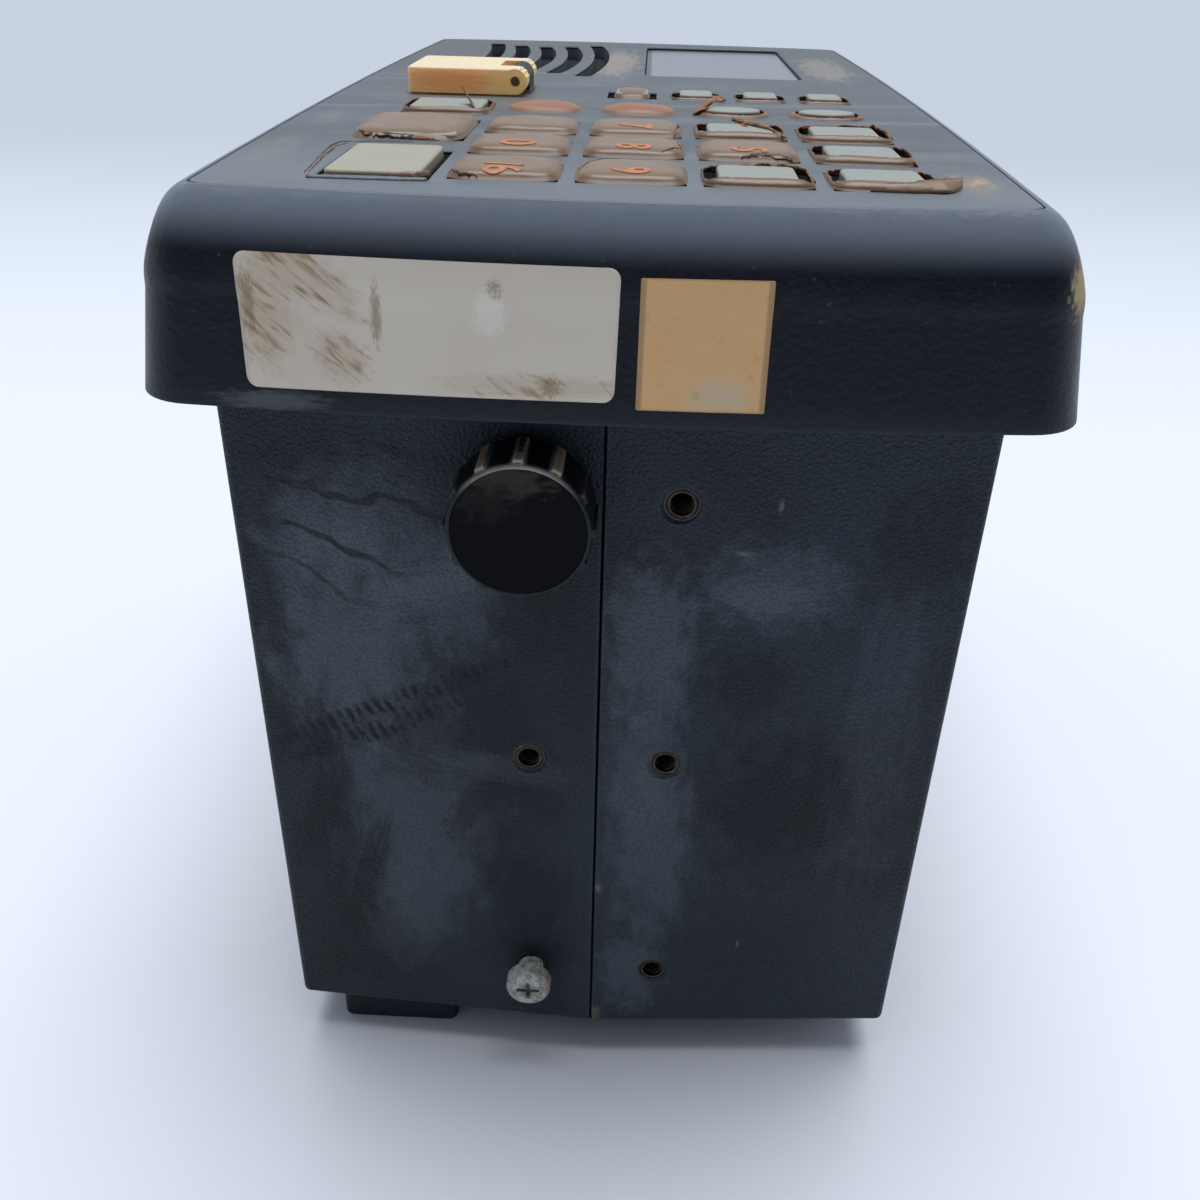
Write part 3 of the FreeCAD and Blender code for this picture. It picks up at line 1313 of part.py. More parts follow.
def make_terminal_cover():
    """Hollow cover over the terminal strip, slotted for cables, with its two screws."""
    x = ("terminal_low_x", "terminal_high_x")
    y = ("0 - terminal_half_length", "terminal_half_length")
    blank = rounded_block("terminal_blank", x, y, ("0", REAR), "terminal_corner")
    blank = soften("terminal_soft", blank, "terminal_edge", at_height("0"))
    tools = [block("terminal_room", grown(x, "0 - terminal_wall"), grown(y, "0 - terminal_wall"),
                   ("terminal_wall", f"{REAR} + spare"))]
    for number in (-1, 0, 1):
        centre = f"{number} * terminal_slot_pitch"
        tools.append(block(f"terminal_slot_{number + 2}",
                           (f"{x[0]} - spare", f"{x[0]} + terminal_wall + spare"),
                           grown((centre, centre), "terminal_slot_long / 2"),
                           (f"{REAR} - terminal_slot_high", f"{REAR} + spare")))
    solids = [cut("terminal_hollow", blank, tools)]
    drills = []
    screws = []
    for number, centre in enumerate(TERMINAL_SCREWS, start=1):
        solids.append(round_bar(f"terminal_post_{number}", "z", centre, "terminal_post",
                                "terminal_wall - bite", REAR))
        drills.append(round_bar(f"terminal_hole_{number}", "z", centre,
                                "terminal_screw + hole_slack", "0 - spare", f"{REAR} + spare"))
        drills.append(round_bar(f"terminal_sink_{number}", "z", centre,
                                "terminal_head + hole_slack", "0 - spare", "terminal_sink"))
        shank = round_bar(f"terminal_shank_{number}", "z", centre,
                          "terminal_screw - thread_slack", "terminal_sink - bite", REAR_INNER)
        head = round_bar(f"terminal_head_{number}", "z", centre, "terminal_head",
                         "terminal_sink - terminal_head_high", "terminal_sink")
        screws.append(join(f"terminal_screw_{number}", [shank, head]))
    keep(cut("terminal_finished", join("terminal_joined", solids), drills), "terminal_cover")
    keep(group("terminal_screw_set", screws), "cover_screws")


def make_terminal_strip():
    """Row of screw terminals on the rear wall, under the cover."""
    low = f"({REAR} - strip_high)"
    x = grown((TERMINAL_MIDDLE, TERMINAL_MIDDLE), "strip_wide / 2")
    strip = block("strip_base", x, ("strip_near_y", "strip_near_y + strip_long"), (low, REAR))
    count = int(size("strip_well_count"))
    wells = []
    for number in range(count):
        place = f"strip_near_y + {number + 0.5} * strip_long / strip_well_count"
        wells.append(round_bar(f"strip_well_{number + 1}", "z", (TERMINAL_MIDDLE, place),
                               "strip_well", f"{low} - spare", f"{low} + strip_well_deep"))
    keep(cut("strip", strip, wells), "terminal_strip")


make_heat_sink()
make_connector_plate()
make_sockets()
make_terminal_cover()
make_terminal_strip()


# ---------------------------------------------------------------- chassis and boards

# places of the standoffs as shares of the frame's width and length
STANDOFF_SHARES = ((0.08, 0.1), (0.92, 0.1), (0.08, 0.9), (0.92, 0.9))
# near and far ends of the shield cans as shares of the radio board's length
CAN_SHARES = ((0.04, 0.46), (0.54, 0.96))
# components of the main board: their sides as shares of its width and length, and their height
COMPONENTS = (((0.107, 0.282), (0.107, 0.222), "chip_high"),
              ((0.447, 0.718), (0.267, 0.446), "chip_high"),
              ((0.699, 0.854), (0.663, 0.816), "filter_high"),
              ((0.194, 0.388), (0.701, 0.906), "capacitor_high"))
RADIO_Y = grown(PAD_Y, "0 - frame_lip - frame_board_gap")


def between(pair, share):
    """A place at a share of the way from a pair's low formula to its high one."""
    return f"({pair[0]} + {share} * ({pair[1]} - ({pair[0]})))"


def make_chassis():
    """Folded aluminium frame on the heat sink's pad, with pressed-in standoffs and board lips."""
    solids = [block("frame_floor", PAD_X, PAD_Y, (REAR_INNER, PLATE_TOP))]
    legs = ((PAD_Y[0], f"{PAD_Y[0]} + frame_thick"), (f"{PAD_Y[1]} - frame_thick", PAD_Y[1]))
    lips = ((PAD_Y[0], f"{PAD_Y[0]} + frame_lip"), (f"{PAD_Y[1]} - frame_lip", PAD_Y[1]))
    for number, (leg, lip) in enumerate(zip(legs, lips), start=1):
        solids.append(block(f"frame_leg_{number}", PAD_X, leg, (REAR_INNER, LEG_TOP)))
        solids.append(block(f"frame_lip_{number}", PAD_X, lip, (f"{LEG_TOP} - frame_thick", LEG_TOP)))
    for number, (share_x, share_y) in enumerate(STANDOFF_SHARES, start=1):
        centre = (between(PAD_X, share_x), between(PAD_Y, share_y))
        solids.append(round_bar(f"standoff_{number}", "z", centre, "standoff_radius",
                                f"{PLATE_TOP} - bite", RADIO_LOW))
    keep(join("frame", solids), "chassis_frame")


def make_boards():
    """Radio board with its shield cans, main board above it and the ribbon to the keypad."""
    keep(block("radio_panel", PAD_X, RADIO_Y, (RADIO_LOW, RADIO_TOP)), "radio_board")
    can_x = grown(PAD_X, "0 - can_margin")
    can_top = f"({RADIO_TOP} + can_high)"
    cans = []
    for number, (near, far) in enumerate(CAN_SHARES, start=1):
        can_y = (between(RADIO_Y, near), between(RADIO_Y, far))
        outer = block(f"can_outer_{number}", can_x, can_y, (RADIO_TOP, can_top))
        inner = block(f"can_inner_{number}", grown(can_x, "0 - can_wall"),
                      grown(can_y, "0 - can_wall"), (f"{RADIO_TOP} - spare", f"{can_top} - can_wall"))
        cans.append(cut(f"can_{number}", outer, [inner]))
    keep(group("can_set", cans), "shield_cans")
    main_x = ("main_low_x", "main_high_x")
    solids = [block("main_panel", main_x, PAD_Y, (LEG_TOP, MAIN_TOP))]
    for number, (across, along, high) in enumerate(COMPONENTS, start=1):
        solids.append(block(f"main_component_{number}", [between(main_x, share) for share in across],
                            [between(PAD_Y, share) for share in along],
                            (f"{MAIN_TOP} - bite", f"{MAIN_TOP} + {high}")))
    keep(join("main", solids), "main_board")
    keep(block("ribbon", ("ribbon_x", "ribbon_x + ribbon_thick"),
               ("ribbon_far_y - ribbon_wide", "ribbon_far_y"), (MAIN_TOP, BOARD_LOW)),
         "ribbon_cable")


make_chassis()
make_boards()


# ---------------------------------------------------------------- check and write

doc.recompute()
failed = [item.Label for item in doc.Objects if {"Invalid", "Error"} & set(item.State)]
if failed:
    raise RuntimeError(f"failed objects: {failed}")
os.makedirs("parts", exist_ok=True)
for node, item in parts.items():
    shape = item.Shape
    if shape.isNull() or not shape.isValid() or not shape.Solids:
        raise RuntimeError(f"bad shape: {node}")
    shape.exportStep(f"parts/{node}.step")
print(len(parts), "sub-parts written")
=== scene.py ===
import bpy
import bmesh
from math import cos, hypot, pi, radians, sin, sqrt
from random import Random
from mathutils import Matrix, Vector
from mathutils.bvhtree import BVHTree


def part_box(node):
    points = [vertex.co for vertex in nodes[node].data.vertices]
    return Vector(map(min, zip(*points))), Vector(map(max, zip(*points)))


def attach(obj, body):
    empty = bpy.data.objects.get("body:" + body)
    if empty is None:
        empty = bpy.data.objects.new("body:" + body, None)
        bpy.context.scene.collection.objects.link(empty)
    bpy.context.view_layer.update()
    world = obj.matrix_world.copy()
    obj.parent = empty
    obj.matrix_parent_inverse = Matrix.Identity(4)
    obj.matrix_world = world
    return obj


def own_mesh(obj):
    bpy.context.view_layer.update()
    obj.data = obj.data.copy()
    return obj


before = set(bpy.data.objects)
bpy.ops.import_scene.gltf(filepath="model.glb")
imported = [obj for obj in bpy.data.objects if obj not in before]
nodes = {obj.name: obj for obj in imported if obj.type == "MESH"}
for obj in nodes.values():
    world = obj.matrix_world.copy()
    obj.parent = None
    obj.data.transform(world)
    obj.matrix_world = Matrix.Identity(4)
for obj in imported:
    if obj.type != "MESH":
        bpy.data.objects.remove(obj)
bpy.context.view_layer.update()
scene = bpy.context.scene
MM = 0.001


# ------------ Bench and light
# The radio stands on its rear on a white bench under a big window behind it. The bench is matt
# and faintly blue, with painted shade that darkens it towards the far side, where the light falls
# off.

def tone(red, green, blue):
    """A paint chip's 0-255 values as a linear colour with full cover."""
    shares = [value / 255 for value in (red, green, blue)]
    return [s / 12.92 if s <= 0.04045 else ((s + 0.055) / 1.055) ** 2.4 for s in shares] + [1.0]


EYE = Vector((0.004985, -0.29087, 0.22023))
YAW, PITCH, ROLL = -0.030, 0.529, -0.026
LENS = 34.8
ahead = Vector((sin(YAW) * cos(PITCH), cos(YAW) * cos(PITCH), -sin(PITCH)))
level = Vector((cos(YAW), -sin(YAW), 0))
fall = ahead.cross(level)
right = cos(ROLL) * level + sin(ROLL) * fall
top = sin(ROLL) * level - cos(ROLL) * fall
lens = bpy.data.cameras.new("viewer")
lens.lens = LENS
lens.clip_start = 0.01
viewer = bpy.data.objects.new("viewer", lens)
viewer.matrix_world = Matrix.Translation(EYE) @ Matrix((right, top, -ahead)).transposed().to_4x4()
scene.collection.objects.link(viewer)
scene.camera = viewer
scene.view_settings.view_transform = "Standard"

BENCH_HALF = 14.0
BENCH_CORNERS = ((-1, -1), (1, -1), (1, 1), (-1, 1))


def make_mesh(name, points, faces=()):
    """A mesh of points in metres."""
    mesh = bpy.data.meshes.new(name)
    mesh.from_pydata(points, [], faces)
    return mesh


bench_mesh = make_mesh("bench", [(x * BENCH_HALF, y * BENCH_HALF, 0) for x, y in BENCH_CORNERS],
                       [(0, 1, 2, 3)])
bench = bpy.data.objects.new("bench", bench_mesh)
scene.collection.objects.link(bench)


def with_settings(made, settings):
    """A new node or modifier, with its settings."""
    for name, value in settings.items():
        setattr(made, name, value)
    return made


def add_node(tree, kind, feeds=None, **settings):
    """A node of a tree, with values or other nodes' outputs fed to its sockets."""
    made = with_settings(tree.nodes.new(kind), settings)
    for socket, value in (feeds or {}).items():
        if isinstance(value, bpy.types.NodeSocket):
            tree.links.new(value, made.inputs[socket])
        else:
            made.inputs[socket].default_value = value
    return made


class Finish:
    """A surface finish: a base coat, then the coats, dirt and relief laid over it in order."""

    def __init__(self, name, colour, roughness, **shine):
        self.material = bpy.data.materials.new(name)
        self.material.use_nodes = True
        self.tree = self.material.node_tree
        self.shader = self.tree.nodes["Principled BSDF"]
        self.shader.inputs["Base Color"].default_value = tone(*colour)
        self.shader.inputs["Roughness"].default_value = roughness
        for socket, value in shine.items():
            self.shader.inputs[socket.replace("_", " ")].default_value = value
        self.place = self.add("TexCoord").outputs["Object"]

    def add(self, kind, feeds=None, **settings):
        """A shader node of the finish."""
        return add_node(self.tree, "ShaderNode" + kind, feeds, **settings)

    def stretched(self, centre=(0, 0, 0), reach=(1, 1, 1), turn=(0, 0, 0)):
        """The place in the piece, counted from a centre in units of a reach."""
        return self.add("Mapping", {"Vector": self.place, "Location": centre, "Scale": reach,
                                    "Rotation": turn}, vector_type="TEXTURE").outputs[0]

    def speckle(self, scale, detail=3.0, where=None, warp=0.0):
        """Cloudy noise from 0 to 1, with a number of clouds per metre."""
        feeds = {"Vector": where or self.place, "Scale": scale, "Detail": detail,
                 "Distortion": warp}
        return self.add("TexNoise", feeds).outputs[0]

    def pebbles(self, scale):
        """Rounded cells like leather grain, 0 in the middle of each."""
        return self.add("TexVoronoi", {"Vector": self.place, "Scale": scale},
                        feature="F1").outputs["Distance"]

    def spread(self, value, low, high):
        """Turns a range of a value into a soft step from 0 to 1."""
        return self.add("MapRange", {"Value": value, "From Min": low, "From Max": high},
                        interpolation_type="SMOOTHSTEP").outputs[0]

    def both(self, first, second, how="MULTIPLY"):
        """Two masks worked into one."""
        return self.add("Math", {0: first, 1: second}, operation=how).outputs[0]

    def axis(self, name):
        """How far along one axis a point of the piece is."""
        return self.add("SeparateXYZ", {0: self.place}).outputs[name]

    def patch(self, centre, reach, ragged=0.3, turn=(0, 0, 0), soft=0.5, clouds=3.0):
        """A smudge in millimetres: 1 in its middle and 0 past its ragged edge."""
        where = self.stretched([v * MM for v in centre], [v * MM for v in reach],
                               [radians(v) for v in turn])
        far = self.add("VectorMath", {0: where}, operation="LENGTH").outputs["Value"]
        if ragged:
            wander = self.both(self.speckle(clouds, 4, where), 0.5, "SUBTRACT")
            far = self.both(far, self.both(wander, ragged * 4), "ADD")
        return self.spread(far, 1 + soft, 1 - soft)

    def edges(self, radius, low=0.004, high=0.08):
        """1 along the edges of the piece, within a radius in millimetres."""
        round_way = self.add("Bevel", {"Radius": radius * MM}, samples=4).outputs[0]
        flat_way = self.add("NewGeometry").outputs["Normal"]
        alike = self.add("VectorMath", {0: round_way, 1: flat_way}, operation="DOT_PRODUCT")
        return self.spread(alike.outputs["Value"], 1 - low, 1 - high)

    def lay(self, socket, mask, value, kind):
        """Covers what a socket has by a value where the mask is high."""
        into = self.shader.inputs[socket]
        first, second, out = (6, 7, 2) if kind == "RGBA" else (2, 3, 0)
        mix = self.add("Mix", {0: mask, second: value}, data_type=kind)
        if into.is_linked:
            self.tree.links.new(into.links[0].from_socket, mix.inputs[first])
        else:
            mix.inputs[first].default_value = into.default_value
        self.tree.links.new(mix.outputs[out], into)

    def coat(self, mask, colour, roughness=None, cover=1.0):
        """A coat of paint, dirt or stain over what is there, where the mask is high."""
        if cover != 1.0:
            mask = self.both(mask, cover)
        self.lay("Base Color", mask, tone(*colour), "RGBA")
        if roughness is not None:
            self.lay("Roughness", mask, roughness, "FLOAT")

    def mottle(self, clouds, low, high, *paint):
        """A coat in clouds, where noise given as speckle's values goes from low to high."""
        self.coat(self.spread(self.speckle(*clouds), low, high), *paint)

    def fade(self, axis, none, full, *paint):
        """A coat that grows along an axis, from none at one place in metres to full at another."""
        self.coat(self.spread(self.axis(axis), none, full), *paint)

    def smear(self, patch, *paint):
        """A coat on one smudge, given as patch's values."""
        self.coat(self.patch(*patch), *paint)

    def edge_wear_and_highlight(self, radius, *paint):
        """A coat along the edges, within a radius in millimetres: rubbed wear, and on the grained
        paints and the bezel also a painted edge highlight.
        """
        self.coat(self.edges(radius), *paint)

    def relief(self, height, depth):
        """Raises the surface by a depth in millimetres where the height is 1."""
        bump = self.add("Bump", {"Height": height, "Distance": depth * MM})
        into = self.shader.inputs["Normal"]
        if into.is_linked:
            self.tree.links.new(into.links[0].from_socket, bump.inputs["Normal"])
        self.tree.links.new(bump.outputs[0], into)

    def rough_up(self, scale, detail, depth):
        """Fine cloudy relief."""
        self.relief(self.speckle(scale, detail), depth)


bench_paper = Finish("bench_paper", (228, 232, 240), 0.75, Specular_IOR_Level=0.2)
# painted shade: the bench is coloured darker with distance away from the viewer
bench_paper.coat(bench_paper.spread(bench_paper.axis("Y"), 0.1, 1.2), (187, 193, 201))
bench_mesh.materials.append(bench_paper.material)

SKY_FRONT, SKY_BACK = tone(100, 106, 118), tone(218, 226, 240)
SKY_STRENGTH = 0.7
sky = bpy.data.worlds.new("daylight")
sky.use_nodes = True
scene.world = sky
sky_light = sky.node_tree.nodes["Background"].inputs
sky_way = add_node(sky.node_tree, "ShaderNodeTexCoord").outputs["Generated"]
sky_axes = add_node(sky.node_tree, "ShaderNodeSeparateXYZ", {0: sky_way})
sky_share = add_node(sky.node_tree, "ShaderNodeMapRange",
                     {"Value": sky_axes.outputs["Y"], "From Min": -0.7, "From Max": 0.5},
                     interpolation_type="SMOOTHSTEP")
sky_mix = add_node(sky.node_tree, "ShaderNodeMix",
                   {0: sky_share.outputs[0], 6: SKY_FRONT, 7: SKY_BACK}, data_type="RGBA")
sky.node_tree.links.new(sky_mix.outputs[2], sky_light["Color"])
sky_light["Strength"].default_value = SKY_STRENGTH


def hang_light(name, way, spread, power, colour):
    """Soft light from a far direction, as wide as an angle in degrees."""
    glow = bpy.data.lights.new(name, "SUN")
    glow.angle, glow.energy, glow.color = radians(spread), power, colour
    lamp = bpy.data.objects.new(name, glow)
    lamp.rotation_euler = Vector(way).to_track_quat("-Z", "Y").to_euler()
    scene.collection.objects.link(lamp)


hang_light("window_light", (-0.05, -0.16, -1.0), 46, 2.6, (0.96, 0.98, 1.0))
hang_light("room_light", (0.3, 0.5, -1.0), 60, 0.2, (0.96, 0.98, 1.0))


# ------------ Half shells
# Two die-cast half shells meet on the seam. They carry a fine leather-grain paint, dark blue
# black, with years of dust rubbed into it.

def modify(piece, name, kind, **settings):
    """Adds a modifier with its settings."""
    with_settings(piece.modifiers.new(name, kind), settings)


def tidy_edges(piece, rounding, segments=2, flat=0.4):
    """Merges a solid's loose triangles, joins its flat ones and rounds its edges a little."""
    piece.data.shade_smooth()
    modify(piece, "weld", "WELD", merge_threshold=0.002 * MM)
    if flat:
        modify(piece, "planes", "DECIMATE", decimate_type="DISSOLVE", angle_limit=radians(flat))
    if rounding:
        modify(piece, "edge", "BEVEL", width=rounding * MM, segments=segments,
               limit_method="ANGLE", angle_limit=radians(34), miter_outer="MITER_ARC",
               use_clamp_overlap=True)
    modify(piece, "shade", "WEIGHTED_NORMAL", keep_sharp=False, weight=80)


def dress(node, finish, rounding=0.25, **ways):
    """Gives a solid of the frame its finish and softened edges."""
    piece = nodes[node]
    piece.data.materials.clear()
    piece.data.materials.append(finish.material)
    tidy_edges(piece, rounding, **ways)


GRAIN = 1600  # cells of the leather grain per metre


def grained_paint(name, colour, dusty):
    """Leather-grain paint with rubbed dust, as on all the castings."""
    paint = Finish(name, colour, 0.46, Specular_IOR_Level=0.22)
    grain = paint.speckle(1700, 3)
    pebble = paint.pebbles(GRAIN)
    cloud = paint.speckle(9, 6, warp=1.4)
    wipe = paint.speckle(6, 5, paint.stretched(reach=(1.8, 1, 0.8), turn=(0, 0.5, 0)), 2.2)
    paint.coat(paint.spread(cloud, 0.36, 0.58), dusty, 0.6, 0.65)
    paint.coat(paint.spread(wipe, 0.5, 0.68), dusty, 0.58, 0.55)
    paint.mottle((60, 5), 0.6, 0.72, dusty, 0.62, 0.35)
    paint.mottle((2600, 2), 0.68, 0.76, (96, 102, 108), 0.7, 0.2)
    # the lighter edges are rubbed wear with a painted edge highlight
    paint.edge_wear_and_highlight(1.2, (62, 70, 80), 0.5, 0.4)
    paint.relief(pebble, -0.16)
    paint.relief(grain, 0.06)
    paint.rough_up(260, 3, 0.02)
    return paint


def grain_highlight_and_shade(paint):
    """Paints the tops of the grain pale as a highlight and its valleys dark as shade, over all
    other dirt.
    """
    pebble = paint.pebbles(GRAIN)
    # painted highlight on the grain tops, then painted shade in the grain's valleys
    paint.coat(paint.spread(pebble, 0.3, 0.1), (64, 73, 84), 0.42, 0.3)
    paint.coat(paint.spread(pebble, 0.42, 0.7), (6, 9, 14), 0.6, 0.25)


NEAR_END = -118


def on_end(x, z, wide, high, ragged=0.45, turn=0, deep=9):
    """patch's values for a place on the near end, in mm and degrees."""
    return (x, NEAR_END, z), (wide, deep, high), ragged, (0, turn, 0)


def smudge(paint, ragged, rows):
    """Wipes dust or damp over the near end: x, z, wide, high, turn, colour and cover."""
    for x, z, wide, high, turn, colour, cover in rows:
        paint.smear(on_end(x, z, wide, high, ragged, turn), colour, 0.56, cover)


SHELL_COLOUR, SHELL_DUST = (10, 15, 25), (47, 57, 67)
DUST_LIGHT, DAMP_DARK = (86, 95, 103), (6, 10, 17)

lower = grained_paint("lower_shell_paint", SHELL_COLOUR, SHELL_DUST)
smudge(lower, 0.45, (
    (-46, 106, 13, 24, 0, DUST_LIGHT, 0.7), (-36, 66, 15, 26, 0, DUST_LIGHT, 0.45),
    (-27, 118, 9, 12, 0, DUST_LIGHT, 0.4), (-50, 128, 9, 8, 0, DUST_LIGHT, 0.45),
    (-12, 128, 9, 20, 0, DAMP_DARK, 0.55), (-30, 84, 12, 9, 0, DAMP_DARK, 0.5),
    (-52, 62, 5, 22, 0, DAMP_DARK, 0.5), (-12, 36, 8, 26, 0, DAMP_DARK, 0.5)))
lower.smear(on_end(-44, 130, 14, 12), DUST_LIGHT, 0.58, 0.35)
tide = lower.add("TexWave", {"Vector": lower.stretched(turn=(0, radians(12), 0)),
                             "Scale": 34.0, "Distortion": 7.0, "Detail": 3.0,
                             "Detail Scale": 1.4}, bands_direction="Z").outputs["Fac"]
tide_zone = lower.patch(*on_end(-43, 131, 17, 14, 0.4))
lower.coat(lower.both(lower.spread(tide, 0.9, 0.99), tide_zone), DAMP_DARK, 0.6, 0.75)
TREAD_TURN = -26
tread_place = lower.stretched((-38 * MM, 0, 92.5 * MM), (MM, MM, MM), (0, radians(TREAD_TURN), 0))
tread = lower.add("TexWave", {"Vector": tread_place, "Scale": 0.15, "Distortion": 2.2,
                              "Detail": 2.0}, bands_direction="X").outputs["Fac"]
tread_marks = lower.both(lower.spread(tread, 0.36, 0.6),
                         lower.spread(lower.speckle(260, 3), 0.42, 0.52))
lower.smear(on_end(-56, 84, 7, 8, 0.5), DAMP_DARK, 0.6, 0.55)
for row_place in ((-40, 92.5, 27, 2.3), (-44, 85.5, 20, 2.2)):
    row = lower.patch(*on_end(*row_place, 0.15, TREAD_TURN), 0.4, 6)
    lower.coat(lower.both(row, tread_marks), (5, 8, 13), 0.6, 0.9)
    lower.coat(row, DAMP_DARK, 0.6, 0.3)
smudge(lower, 0.35, (
    (-56, 63, 3.5, 13, 20, DAMP_DARK, 0.7), (-47, 48, 3.0, 17, 16, DAMP_DARK, 0.75),
    (-24, 70, 3.2, 9, 32, DAMP_DARK, 0.6), (-30, 119, 11, 4, -24, DUST_LIGHT, 0.45),
    (-20, 80, 14, 3, 6, DUST_LIGHT, 0.25), (-38, 40, 8, 15, 10, DUST_LIGHT, 0.35)))
grain_highlight_and_shade(lower)
dress("lower_shell", lower, 0.3)

upper = grained_paint("upper_shell_paint", SHELL_COLOUR, SHELL_DUST)
smudge(upper, 0.45, (
    (9, 108, 8, 16, 0, DUST_LIGHT, 0.6), (11, 62, 8, 22, 0, DUST_LIGHT, 0.5),
    (31, 121, 12, 8, 0, DUST_LIGHT, 0.45), (52, 88, 7, 34, 0, DUST_LIGHT, 0.2),
    (8, 26, 6, 10, 0, DUST_LIGHT, 0.5), (35, 72, 14, 18, 0, DAMP_DARK, 0.75),
    (27, 101, 8, 7, 0, DAMP_DARK, 0.6), (34, 34, 16, 14, 0, DAMP_DARK, 0.35),
    (8, 82, 6, 12, 0, DUST_LIGHT, 0.35), (28, 119, 8, 3.5, 0, DUST_LIGHT, 0.5),
    (55, 130, 10, 12, 0, DAMP_DARK, 0.6)))
for fleck in ((29.5, 137, 0.5, 1.4), (30.5, 35, 0.4, 1.2), (24, 128, 1.6, 0.5),
              (0.9, 51, 0.7, 1.0)):
    upper.smear(on_end(*fleck, 0.3, deep=4), (104, 110, 116), 0.6, 0.7)
upper.smear(on_end(0.7, 14, 1.4, 2.2, 0.6, deep=4), (96, 92, 84), 0.7)
grain_highlight_and_shade(upper)
dress("upper_shell", upper, 0.3)


# ------------ Seals
# Cords and a flat ring of black rubber keep water out of the seam and from under the bezel.
# They are cut from sheet and squeezed in place.

def plain_finish(name, colour, roughness, metallic, stain, bumps):
    """A finish with one cloudy stain and one fine relief, as on most small parts."""
    made = Finish(name, colour, roughness, Metallic=metallic)
    made.mottle(*stain)
    made.rough_up(*bumps)
    return made


rubber = plain_finish("seal_rubber", (18, 18, 19), 0.72, 0,
                      ((240, 4), 0.55, 0.7, (44, 43, 42), 0.85, 0.5), (900, 2, 0.04))
for seal in ("bezel_gasket", "seam_seals"):
    dress(seal, rubber, 0.15)


# ------------ Threaded inserts
# Turned brass inserts are pressed into bosses of the ends, two rows of three, and take the
# bracket's screws. Their threads are cut turns, and salt has dulled them.

def point_tree(name, sizes, form):
    """A geometry tree that sets one form on every point, turned to the point's aim."""
    tree = bpy.data.node_groups.new(name, "GeometryNodeTree")
    for size, kind in (("Points", "Geometry"), *((size, "Float") for size in sizes),
                       ("Metal", "Material")):
        tree.interface.new_socket(size, in_out="INPUT", socket_type="NodeSocket" + kind)
    tree.interface.new_socket("Made", in_out="OUTPUT", socket_type="NodeSocketGeometry")
    given = add_node(tree, "NodeGroupInput").outputs
    aim = add_node(tree, "GeometryNodeInputNamedAttribute", {"Name": "aim"},
                   data_type="FLOAT_VECTOR")
    turn = add_node(tree, "FunctionNodeAlignRotationToVector", {"Vector": aim.outputs[0]},
                    axis="Z")
    copies = add_node(tree, "GeometryNodeInstanceOnPoints",
                      {"Points": given["Points"], "Instance": form(tree, given),
                       "Rotation": turn.outputs[0]})
    real = add_node(tree, "GeometryNodeRealizeInstances", {0: copies.outputs[0]})
    paint = add_node(tree, "GeometryNodeSetMaterial",
                     {"Geometry": real.outputs[0], "Material": given["Metal"]})
    add_node(tree, "NodeGroupOutput", {0: paint.outputs[0]})
    return tree


def thread_turns(tree, given):
    """One coil of thread of a radius, pitch and length, with a small round ridge."""
    count = add_node(tree, "ShaderNodeMath", {0: given["Length"], 1: given["Pitch"]},
                     operation="DIVIDE")
    coil = add_node(tree, "GeometryNodeCurveSpiral",
                    {"Resolution": 28, "Rotations": count.outputs[0],
                     "Start Radius": given["Radius"], "End Radius": given["Radius"],
                     "Height": given["Length"]})
    ridge = add_node(tree, "GeometryNodeCurvePrimitiveCircle",
                     {"Resolution": 5, "Radius": given["Ridge"]})
    return add_node(tree, "GeometryNodeCurveToMesh",
                    {"Curve": coil.outputs[0], "Profile Curve": ridge.outputs[0],
                     "Fill Caps": True}).outputs[0]


def add_piece(name, mesh, finish, body):
    """A new piece in its place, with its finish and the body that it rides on."""
    piece = bpy.data.objects.new(name, mesh)
    scene.collection.objects.link(piece)
    mesh.shade_smooth()
    if not mesh.materials:
        mesh.materials.append(finish.material)
    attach(piece, body)
    return piece


def taken_mesh(maker):
    """The mesh that a helper object makes, which then goes."""
    made = maker.evaluated_get(bpy.context.evaluated_depsgraph_get())
    mesh = bpy.data.meshes.new_from_object(made)
    bpy.data.objects.remove(maker)
    return mesh


def grow(tree, name, points, aims, values, finish, body):
    """Runs a geometry tree on points that each aim somewhere, and keeps what it makes."""
    seed = make_mesh(name + "_points", [[v * MM for v in p] for p in points])
    seed.attributes.new("aim", "FLOAT_VECTOR", "POINT").data.foreach_set(
        "vector", [v for aim in aims for v in aim])
    maker = bpy.data.objects.new(name + "_maker", seed)
    scene.collection.objects.link(maker)
    work = maker.modifiers.new("turns", "NODES")
    work.node_group = tree
    for item in tree.interface.items_tree:
        if item.in_out == "INPUT" and item.name in values:
            work[item.identifier] = values[item.name]
        elif item.in_out == "INPUT" and item.socket_type == "NodeSocketMaterial":
            work[item.identifier] = finish.material
    mesh = taken_mesh(maker)
    mesh.name = name
    add_piece(name, mesh, finish, body)


brass = Finish("insert_brass", (36, 33, 30), 0.42, Metallic=0.8)
brass.mottle((420, 5), 0.45, 0.62, (18, 16, 15), 0.6, 0.85)
brass.edge_wear_and_highlight(0.35, (150, 142, 128), 0.42, 0.6)
brass.mottle((900, 3), 0.62, 0.7, (116, 110, 100), 0.5, 0.6)
brass.rough_up(1400, 2, 0.03)
dress("thread_inserts", brass, 0.12)

